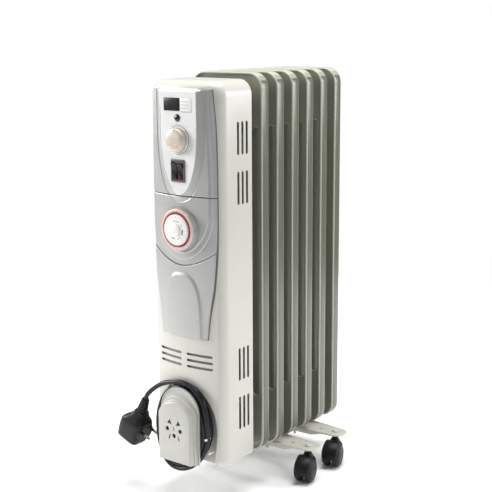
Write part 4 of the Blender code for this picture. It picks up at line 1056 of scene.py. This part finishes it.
def bent_sheet(name, rows, front_y, back_y, finish):
    """A sheet that follows the front's crown; each row is a height and its two ends."""
    bm = bmesh.new()
    sheets = []
    for y in (front_y, back_y):
        sheet = []
        for z, low, high in rows:
            places = [low + (high - low) * j / 32 for j in range(33)]
            sheet.append([bm.verts.new((x, y - crown(x), z)) for x in places])
        sheets.append(sheet)
    close_sheets(bm, *sheets)
    build(name, bm, finish, sharp=40)


def make_trim():
    trim_plate("upper_trim", lambda x: SEAM_HIGH + SEAM_GAP, lambda x: TRIM_HIGH, 230, 230)
    trim_plate("timer_trim", lambda x: seam_low(x) + SEAM_GAP, lambda x: SEAM_HIGH - SEAM_GAP,
               150, 190)
    trim_plate("lower_trim", lambda x: TRIM_LOW, lambda x: seam_low(x) - SEAM_GAP, 150, 170)
    # A dark strip under the trim: painted shadow that shows in the seams and beside its right edge.
    rows = []
    for i in range(49):
        z = TRIM_LOW - 0.0011 + (TRIM_HIGH - TRIM_LOW + 0.0003) * i / 48
        wide = trim_half_width(min(TRIM_HIGH, max(TRIM_LOW, z))) + 0.0011
        rows.append((z, 0.0024 - wide, wide))
    bent_sheet("trim_shadow_strip", rows, -0.00028, 0.0010, "trim_edge_shadow")
    bent_sheet("vent_louvre", [(0.1990 + 0.0075 * i, -0.0530, 0.0530) for i in range(6)],
               0.0030, 0.0040, "grey")


# ---------------------------------------------------------------- controls
WINDOW = (-0.0250, 0.0050, 0.5825, 0.6010)
LABEL = (0.0056, 0.0262, 0.5825, 0.6010)


def panel_plate(name, ends, corner, proud, chamfer, finish, node):
    left, right, low, high = ends
    outline = [(x + (left + right) / 2, z)
               for x, z in rounded((right - left) / 2, low, high, corner, 4)]
    build(name, prism(outline, TONGUE_Y - proud, TONGUE_Y + 0.0010, chamfer), finish,
          instead=node, sharp=40)


def mark(name, outline, y, finish, on="heater"):
    """A printed mark: a flake of ink that stands a few hundredths of a millimetre proud."""
    build(name, prism(outline, y - 0.00006, y + 0.0001), finish, on)


def ticks(name, centre_z, degrees, near, lengths, y, finish, on="heater"):
    """Short radial bars, 0.4 mm wide, one for each length."""
    for step, length in enumerate(lengths):
        turn = math.radians(90 + degrees[0] + degrees[1] * step)
        out = Vector((math.cos(turn), math.sin(turn)))
        side = Vector((-out.y, out.x)) * 0.0002
        inner, outer = (Vector((0.0, centre_z)) + out * r for r in (near, near + length))
        mark(f"{name}_{step + 1}", [tuple(p) for p in (inner - side, outer - side, outer + side,
                                                       inner + side)], y, finish, on)


def make_panel_pieces():
    panel_plate("display_glass", WINDOW, 0.0012, 0.0006, 0.0005, "window", "display_window")
    panel_plate("label_plate", LABEL, 0.0008, 0.0005, 0.0003, "white", "rating_label")
    left, right, low, high = LABEL
    for row in range(3):
        z = high - 0.0045 - 0.0046 * row
        mark(f"label_line_{row + 1}",
             rectangle(left + 0.0022, right - 0.0022 - 0.002 * row, z - 0.0007, z),
             TONGUE_Y - 0.0005, "grey_ink")
    # A grey bar under the label: painted shadow of its lower edge.
    mark("label_shadow_bar", rectangle(left, right, low - 0.0013, low - 0.0002), TONGUE_Y, "grey_ink")
    lens = lathe(((-0.0020, 0.0008), (-0.0018, 0.0024), (-0.0012, 0.0038), (-0.0004, 0.0046),
                  (0.0030, 0.0047)), 40, (0.0, LAMP_Z), TONGUE_Y)
    build("lamp_lens", lens, "window", instead="pilot_lamp")
    rim = lathe(((0.0002, 0.0046), (-0.0005, 0.0047), (-0.0007, 0.0050), (-0.0005, 0.0053),
                 (0.0002, 0.0055)), 40, (0.0, LAMP_Z), TONGUE_Y)
    build("lamp_rim", rim, "smoke")


def make_thermostat():
    middle = (0.0, KNOB_Z)
    dish = lathe(((-0.0012, 0.0060), (-0.0012, 0.0186), (-0.0018, 0.0190), (-0.0020, 0.0196),
                  (-0.0017, 0.0200), (0.0, 0.0203)), 96, middle, TONGUE_Y - GAP)
    build("knob_dish", dish, "console", instead="knob_bezel", sharp=50)
    # A thin dark ring round the dish: painted shadow where the groove falls in shade.
    groove = lathe(((0.0004, 0.0200), (-0.0004, 0.0202), (-0.0004, 0.0208), (0.0004, 0.0210)),
                   96, middle, TONGUE_Y)
    build("knob_shadow_ring", groove, "smoke", sharp=50)
    back = TONGUE_Y - 0.0018
    profile = ((0.0, 0.0168), (-0.0005, 0.0174), (-0.0016, 0.0175), (-0.0038, 0.0172),
               (-0.0056, 0.0166), (-0.0070, 0.0156), (-0.0079, 0.0142), (-0.0084, 0.0120),
               (-0.0087, 0.0080), (-0.0088, 0.0015))
    cap = []
    for k, (y, radius) in enumerate(profile):
        ring = []
        for i in range(180):
            turn = 2 * math.pi * i / 180
            grip = 0.00035 * max(0.0, math.cos(36 * turn)) if 1 <= k <= 5 else 0.0
            ring.append(((radius - grip) * math.cos(turn), back + y,
                         KNOB_Z + (radius - grip) * math.sin(turn)))
        cap.append(ring)
    build("knob_cap", loft(cap), "knob", "thermostat_knob", "thermostat_knob", sharp=60,
          origin=(0.0, TONGUE_Y, KNOB_Z))
    pointer = prism(rectangle(-0.0005, 0.0005, KNOB_Z + 0.0110, KNOB_Z + 0.0150),
                    back - 0.0087, back - 0.0070)
    build("knob_pointer", pointer, "knob_side", "thermostat_knob")
    ticks("knob_scale", KNOB_Z, (-140, 28), 0.0226,
          [0.0018 if step % 5 == 0 else 0.0012 for step in range(11)], TONGUE_Y, "grey_ink")


def make_switch():
    face = TONGUE_Y
    frame_edge = rounded(0.0126, SWITCH_Z - 0.0162, SWITCH_Z + 0.0162, 0.0016, 5)
    stem = rounded(0.0112, SWITCH_Z - 0.0148, SWITCH_Z + 0.0148, 0.0008, 3)
    opening = rectangle(-0.0103, 0.0103, SWITCH_Z - 0.0129, SWITCH_Z + 0.0129)
    rim = combine(prism(frame_edge, face - 0.0020, face - GAP, 0.0007),
                  [prism(stem, face - 0.001, 0.012)], "UNION")
    housing = combine(rim, [prism(opening, face - 0.01, face + 0.0080)])
    build("switch_frame", housing, "smoke", instead="switch_housing", bevel=0.0002)
    half = 0.0123
    profile = []
    for i in range(13):
        s = -1 + i / 6
        profile.append((s * half, -0.0034 - 0.0028 * abs(s) ** 1.35))
    profile += [(half, -0.0018), (0.0062, 0.0020), (0.0030, 0.0030), (-0.0030, 0.0030),
                (-0.0062, 0.0020), (-half, -0.0018)]
    for name, side in (("rocker_left", -1), ("rocker_right", 1)):
        pivot = (side * 0.0052, face + 0.0020, SWITCH_Z)
        tilted = Matrix.Translation(pivot) @ Matrix.Rotation(math.radians(8.0), 4, "X")
        key = loft([[(x, y, z) for z, y in profile] for x in (-0.0047, 0.0047)])
        build(name + "_key", turned(key, tilted), "rocker", name, name, bevel=0.0005, sharp=50,
              origin=pivot)
        lens = prism(rectangle(-0.0034, 0.0034, -0.0108, -0.0040), -0.0064, -0.0040, 0.0004)
        build(name + "_lens", turned(lens, tilted), "maroon", name)


def make_timer():
    centre, middle = (0.0, 0.0, TIMER_Z), (0.0, TIMER_Z)
    dish = lathe(((-0.0125, 0.0020), (-0.0125, 0.0252), (-0.0190, 0.0254), (-0.0198, 0.0257),
                  (-0.0203, 0.0264), (-0.0204, 0.0278), (-0.0201, 0.0290), (-0.0193, 0.0298),
                  (-0.0180, 0.0302), (-0.0160, 0.0305), (-CROWN - GAP, 0.0312)), 144, middle)
    for face in dish.faces:
        spot = face.calc_center_median()
        face.material_index = int(math.hypot(spot.x, spot.z - TIMER_Z) > 0.0297)
    rim = build("timer_rim", dish, "white", instead="timer_bezel", sharp=45)
    rim.data.materials.append(MATERIALS["trim"])
    band_y = -0.02055
    band = hoop(((-0.0193, 0.0254), (-0.0201, 0.0257), (band_y, 0.0264), (-0.0206, 0.0284),
                 (-0.0202, 0.0292), (-0.0196, 0.0290)), 144, middle)
    build("timer_scale_band", band, "blush")
    ticks("timer_hour", TIMER_Z, (0, -7.5), 0.0264,
          [0.0010 if step % 2 else 0.0016 for step in range(48)], band_y, "rose_ink")
    teeth = []
    for i in range(96):
        turn = 2 * math.pi * (i + 0.5) / 96
        out = Vector((math.cos(turn), math.sin(turn)))
        side = Vector((-out.y, out.x)) * 0.00056
        sections = []
        for y, low, high in ((0.0018, 0.0236, 0.0243), (0.0021, 0.0234, 0.0246),
                             (0.0052, 0.0233, 0.0249)):
            near, far = out * low, out * high
            sections.append([(p.x, TIMER_FRONT_Y + y, TIMER_Z + p.y) for p in
                             (near - side, far - side, far + side, near + side)])
        teeth.append(loft(sections))
    ring = hoop(((0.0040, 0.0249), (0.0036, 0.0234), (0.0022, 0.0232), (0.0022, 0.0228),
                 (0.0098, 0.0227), (0.0098, 0.0250), (0.0048, 0.0250)), 144, middle,
                TIMER_FRONT_Y)
    build("timer_ring", merge(ring, *teeth), "rose", "timer_dial", "timer_tappet_ring", sharp=35,
          origin=centre)
    dial = lathe(((-0.0022, 0.0008), (-0.0022, 0.0076), (-0.0018, 0.0084), (-0.0006, 0.0092),
                  (-0.0001, 0.0100), (0.0, 0.0110), (0.0, 0.0211), (0.0003, 0.0219),
                  (0.0012, 0.0224), (0.0098, 0.0225)), 120, middle, TIMER_FRONT_Y)
    build("timer_face", dial, "white", "timer_dial", "timer_dial", sharp=40, origin=centre)
    ticks("timer_scale", TIMER_Z, (0, -15), 0.0180,
          [0.0012 if step % 6 else 0.0022 for step in range(24)], TIMER_FRONT_Y, "rose_ink",
          "timer_dial")
    # A generic printed dial: a broken ring of dashes, and one block at the right.
    for k, (start, sweep, wide) in enumerate(((62, 46, 0.0007), (30, 12, 0.0012),
                                              (-26, 34, 0.0020), (-76, 30, 0.0006),
                                              (-122, 22, 0.0014))):
        outline = arc(0.0, TIMER_Z, 0.0132 + wide / 2, start, start + sweep, 16)
        outline += arc(0.0, TIMER_Z, 0.0132 - wide / 2, start + sweep, start, 16)
        mark(f"timer_dash_{k + 1}", outline, TIMER_FRONT_Y, "ink", "timer_dial")


# ---------------------------------------------------------------- cord winder
# The cover, from its rear edge to its front: y, half width, top, rise of the arched top, bottom.
COVER_SECTIONS = (
    (-0.0190, 0.0370, 0.1765, 0.0370, 0.0630), (-0.0206, 0.0370, 0.1765, 0.0370, 0.0630),
    (-0.0216, 0.0368, 0.1763, 0.0368, 0.0631), (-0.0221, 0.0364, 0.1758, 0.0364, 0.0633),
    (-0.0221, 0.0358, 0.1750, 0.0357, 0.0634), (-0.0216, 0.0353, 0.1743, 0.0350, 0.0634),
    (-0.0212, 0.0351, 0.1735, 0.0340, 0.0634), (-0.0212, 0.0350, 0.1668, 0.0285, 0.0634),
    (-0.0218, 0.0348, 0.1650, 0.0270, 0.0634), (-0.0238, 0.0346, 0.1640, 0.0262, 0.0634),
    (-0.0262, 0.0345, 0.1636, 0.0258, 0.0634), (-0.0274, 0.0342, 0.1630, 0.0252, 0.0635),
    (-0.0277, 0.0334, 0.1618, 0.0240, 0.0637), (-0.0278, 0.0322, 0.1600, 0.0222, 0.0640),
    (-0.0283, 0.0318, 0.1592, 0.0214, 0.0641), (-0.0310, 0.0314, 0.1586, 0.0208, 0.0642),
    (-0.0334, 0.0310, 0.1578, 0.0202, 0.0644), (-0.0345, 0.0302, 0.1566, 0.0192, 0.0650),
    (COVER_Y, 0.0290, 0.1550, 0.0180, 0.0660))
HOLLOW_SECTIONS = (
    (-0.0100, 0.0345, 0.1735, 0.0345, 0.0650), (-0.0198, 0.0345, 0.1735, 0.0345, 0.0650),
    (-0.0200, 0.0330, 0.1590, 0.0220, 0.0660), (-0.0325, 0.0290, 0.1560, 0.0190, 0.0670))


def cover_section(y, half, high, rise, low):
    radius = (half ** 2 + rise ** 2) / (2 * rise)
    spread = math.degrees(math.asin(min(1.0, half / radius)))
    corner = 0.0016
    return at_y(arc(0.0, high - radius, radius, 90 - spread, 90 + spread, 40)
                + arc(corner - half, low + corner, corner, 180, 270, 4)
                + arc(half - corner, low + corner, corner, 270, 360, 4), y)


def make_winder():
    outer = loft([cover_section(*section) for section in COVER_SECTIONS])
    holes = [loft([cover_section(*section) for section in HOLLOW_SECTIONS])]
    y_front, y_rear = COVER_Y - 0.01, COVER_Y + 0.008
    for x, z in ((-0.0130, 0.1150), (0.0120, 0.1150), (0.0, 0.1058)):
        holes.append(lathe(((y_front, 0.0034), (y_rear, 0.0034)), 24, (x, z)))
    shapes = [rectangle(-0.0008, 0.0008, 0.1130, 0.1200)]
    for side in (-1, 1):
        shapes.append([(side * 0.0042, 0.1226), (side * 0.0130, 0.1240), (side * 0.0080, 0.1312)])
        shapes.append([(side * 0.0064, 0.1064), (side * 0.0092, 0.0990), (side * 0.0112, 0.0998),
                       (side * 0.0084, 0.1072)])
    holes += [prism(shape, y_front, y_rear) for shape in shapes]
    build("winder_cap", combine(outer, holes), "cover", instead="winder_cover", sharp=42)
    build("socket_backing", prism(rounded(0.0200, 0.0960, 0.1360, 0.003, 3), -0.0323, -0.0310),
          "black")
    drum = half_oval(0.0290, 0.0440, 0.1130, 32) + [(-0.0240, 0.0880), (0.0240, 0.0880)]
    build("winder_drum", prism(drum, -0.0230, WELL_Y - GAP), "cover", instead="winder_hub",
          bevel=0.0008)
    head = lathe(((-0.0130, 0.0004), (-0.0129, 0.0012), (-0.0125, 0.0019), (-0.0118, 0.0022),
                  (-0.0110, 0.0021), (-0.0106, 0.0014), (WELL_Y - GAP, 0.0014)), 32,
                 (0.0480, 0.0820))
    tip = lathe(((-0.0222, 0.0004), (-0.0220, 0.0012), (-0.0214, 0.0017), (-0.0206, 0.0018),
                 (-0.0196, 0.0014), (-0.0110, 0.0014)), 32, (0.0492, 0.1060))
    build("peg_head", merge(head, tip), "white", instead="cord_peg")


# ---------------------------------------------------------------- feet and castors
FOOT_TIP = 0.0170
HOOD_LOW = 0.0165
NUT_WING = ((0.0030, -0.0068), (0.0060, -0.0094), (0.0085, -0.0116), (0.0105, -0.0122),
            (0.0122, -0.0114), (0.0126, -0.0098), (0.0118, -0.0074), (0.0080, -0.0045),
            (0.0045, -0.0012))


def foot_outline(y, grow):
    """The foot bar from above, as (x, y) points: widest in the middle, with round ends."""
    tip, middle = FOOT_TIP + grow, FOOT_HALF_WIDTH + grow
    shoulder = middle * 0.75 + tip * 0.25
    half = [(0.0550, -middle), (0.0800, -shoulder)]
    half += arc(FOOT_HALF_LENGTH - FOOT_TIP, 0.0, tip, -90, 90, 24)
    half += [(0.0800, shoulder), (0.0550, middle)]
    return [(side * a, y + side * b) for side in (1, -1) for a, b in half]


def make_foot(end, y):
    top = FOOT_TOP
    shell = loft([at_z(foot_outline(y, grow), top + z) for z, grow in
                  ((-0.0075, -0.0001), (-0.0066, 0.0), (-0.0016, 0.0), (-0.0006, -0.0004),
                   (-0.0001, -0.0011), (0.0, -0.0020))])
    under = top - FOOT_SHEET
    holes = [loft([at_z(foot_outline(y, -FOOT_SHEET), z) for z in (top - 0.02, under)])]
    beads = [loft([at_z(foot_outline(y, grow), top + z) for grow, z in
                   ((-0.0030, -0.0003), (-0.0024, 0.0004), (-0.0014, 0.0006), (-0.0006, 0.0002),
                    (-0.0003, -0.0006))], closed=True)]
    for side in (-1, 1):
        for x, radius in ((CASTOR_X, 0.0043), (CLAMP_X, 0.0034)):
            holes.append(turned(lathe(((-0.02, radius), (0.02, radius)), 24),
                                Matrix.Translation((side * x, y, top)) @ ABOUT_X))
        wedge = [(side * 0.0700, top - 0.02), (side * 0.0700, top - 0.0080),
                 (side * 0.0720, top - 0.0072), (side * 0.0900, under - 0.0003),
                 (side * 0.0930, under), (side * 0.1300, under), (side * 0.1300, top - 0.02)]
        holes.append(prism(wedge, y - 0.03, y + 0.03))
        bolt = lathe(((-0.0008, 0.0044), (0.0012, 0.0042), (0.0017, 0.0034), (0.0018, 0.0012)),
                     6, start=top)
        beads.append(turned(bolt, Matrix.Translation((side * 0.0800, y, 0.0)) @ ABOUT_X))
    build(f"foot_bar_{end}", merge(combine(shell, holes), *beads), "foot_paint",
          instead=f"foot_bracket_{end}", sharp=32)


def make_clamp(end, y):
    """The U-bolt over the fins' lower cups, with its threads and wing nuts."""
    z = FIN_LOW + CUP_FROM_END
    leg = [(CLAMP_X, y, height) for height in (0.0315, 0.045, 0.060, 0.085, z - 0.004)]
    path = [(-x, *rest) for x, *rest in leg]
    path += at_y(arc(0.0, z, CLAMP_X, 180, 0, 24), y) + leg[::-1]
    build(f"clamp_{end}", tube(path, 0.0025, 20), "steel", instead=f"u_bolt_{end}")
    for side_name, side in (("left", -1), ("right", 1)):
        thread = loft([at_z(circle(0.00265 if i % 2 else 0.00248, 20, (side * CLAMP_X, y)),
                            0.0318 + 0.0004 * i) for i in range(30)])
        build(f"clamp_thread_{end}_{side_name}", thread, "steel", sharp=20)
        hub = turned(lathe(((-0.0070, 0.0036), (-0.0066, 0.0042), (-0.0008, 0.0060),
                            (0.0, 0.0060)), 36), ABOUT_X)
        wings = [prism([(way * x, z) for x, z in NUT_WING], -0.0011, 0.0011) for way in (-1, 1)]
        spot = (side * CLAMP_X, y, FOOT_TOP - FOOT_SHEET - GAP)
        build(f"wing_{end}_{side_name}", turned(merge(hub, *wings), Matrix.Translation(spot)),
              "steel", instead=f"wing_nut_{end}_{side_name}", bevel=0.0004)


def tread_profile():
    """From the wheel's inner side outwards: (distance from the castor's middle, radius)."""
    inner, outer, r = WHEEL_INNER_X, WHEEL_INNER_X + WHEEL_THICK, WHEEL_RADIUS
    quarter = [math.pi / 2 * i / 8 for i in range(9)]
    tread = [(inner, r - 0.0100)]
    tread += [(inner + 0.0044 * (1 - math.cos(turn)), r - 0.0056 * (1 - math.sin(turn)))
              for turn in quarter]
    tread += [(inner + 0.0047, r), (inner + 0.0049, r - 0.0003), (inner + 0.0053, r - 0.0003),
              (inner + 0.0055, r)]
    return tread + [(inner + 0.0058 + (outer - inner - 0.0062) * math.sin(turn),
                     r - 0.0090 * (1 - math.cos(turn))) for turn in quarter[1:]]


def make_castor(label, x, y):
    body = f"castor_{label}"
    spin = (Matrix.Translation((x, y, 0.0))
            @ Matrix.Rotation(math.copysign(CASTOR_TURN, x), 4, "Z"))
    middle = spin @ Matrix.Translation((0.0, -CASTOR_TRAIL, WHEEL_RADIUS))
    upright = Matrix.Translation((x, y, 0.0)) @ ABOUT_X
    half = WHEEL_INNER_X + WHEEL_THICK - 0.0040

    def across(profile, segments):
        return turned(lathe(profile, segments), middle @ ABOUT_Z)

    def wheel_wells():
        return [across(((side * (WHEEL_INNER_X - 0.0006), WHEEL_RADIUS + 0.0006),
                        (side * (half + 0.01), WHEEL_RADIUS + 0.0006)), 96) for side in (-1, 1)]

    def turning(name, profiles, finish, node=(), sharp=30.0):
        parts = [turned(lathe(profile, segments), upright) for profile, segments in profiles]
        build(name, merge(*parts), finish, body, node, sharp=sharp)

    drum = across(((-half, HOOD_RADIUS - 0.0012), (-half + 0.0003, HOOD_RADIUS - 0.0005),
                   (-half + 0.0012, HOOD_RADIUS), (half - 0.0012, HOOD_RADIUS),
                   (half - 0.0003, HOOD_RADIUS - 0.0005), (half, HOOD_RADIUS - 0.0012)), 96)
    cut = bmesh.ops.bisect_plane(drum, geom=drum.verts[:] + drum.edges[:] + drum.faces[:],
                                 plane_co=(0.0, 0.0, HOOD_LOW), plane_no=(0.0, 0.0, -1.0),
                                 clear_outer=True)
    bmesh.ops.edgenet_fill(drum, edges=[e for e in cut["geom_cut"]
                                        if isinstance(e, bmesh.types.BMEdge)])
    neck = turned(lathe(((0.0310, 0.0098), (0.0355, 0.0090), (0.0385, 0.0078), (0.0410, 0.0064),
                         (0.0425, 0.0055), (0.0440, 0.0051), (0.0500, 0.0049)), 40), upright)
    axle = across(((-half, 0.0024), (half, 0.0024)), 24)
    shape = merge(combine(drum, wheel_wells()), combine(neck, wheel_wells()), axle)
    build(f"castor_hood_{label}", shape, "black", body, f"hood_{label}", sharp=35)
    turning(f"castor_stem_{label}",
            ((((0.0498, 0.0036), (0.0540, 0.0036)), 28),
             (((0.0531, 0.0046), (0.0534, 0.0052), (0.0542, 0.0050), (0.0552, 0.0043),
               (0.0560, 0.0030), (0.0563, 0.0012)), 40)), "foot_paint")
    turning(f"castor_washer_{label}",
            ((((0.0492, 0.0062), (0.0496, 0.0066), (0.0502, 0.0066)), 32),), "steel")
    outer, r = WHEEL_INNER_X + WHEEL_THICK, WHEEL_RADIUS
    disc = ((outer - 0.0012, r - 0.0086), (outer - 0.0002, r - 0.0092),
            (outer - 0.0004, r - 0.0104), (outer - 0.0010, r - 0.0112),
            (outer - 0.0008, r - 0.0130), (outer - 0.0002, r - 0.0138), (outer, r - 0.0160),
            (outer, 0.0006))
    for letter, side in (("a", -1), ("b", 1)):
        node = f"wheel_{label}_{letter}"
        tyre = across([(side * a, b) for a, b in tread_profile()], 96)
        build(f"tyre_{label}_{letter}", tyre, "tread", node, node, sharp=40,
              origin=middle.translation)
        build(f"wheel_disc_{label}_{letter}", across([(side * a, b) for a, b in disc], 64),
              "black", node, sharp=30)


def make_running_gear():
    for end, number in (("front", 3), ("rear", 5)):
        y = FIRST_FIN_Y + (number - 1) * FIN_PITCH + (FIN_PITCH + FULL_SHEET_DEPTH) / 2
        make_foot(end, y)
        make_clamp(end, y)
        for side_name, side in (("left", -1), ("right", 1)):
            make_castor(f"{end}_{side_name}", side * CASTOR_X, y)


# ---------------------------------------------------------------- CAD pieces that stay
def paint_frame():
    """The pieces inside the box keep their CAD shape and take a finish."""
    for node, finish in (("heating_element", "steel"), ("heat_shield", "steel"),
                         ("thermal_cutout", "steel"), ("thermostat_body", "board"),
                         ("timer_body", "board"), ("terminal_block", "board"),
                         ("supply_wire", "cord")):
        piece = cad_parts[node]
        piece.data.materials.clear()
        piece.data.materials.append(MATERIALS[finish])


make_camera()
make_world()
make_lamps()
make_floor()
make_cord()
make_fins()
make_box()
make_trim()
make_panel_pieces()
make_thermostat()
make_switch()
make_timer()
make_winder()
make_running_gear()
paint_frame()
bpy.context.view_layer.update()
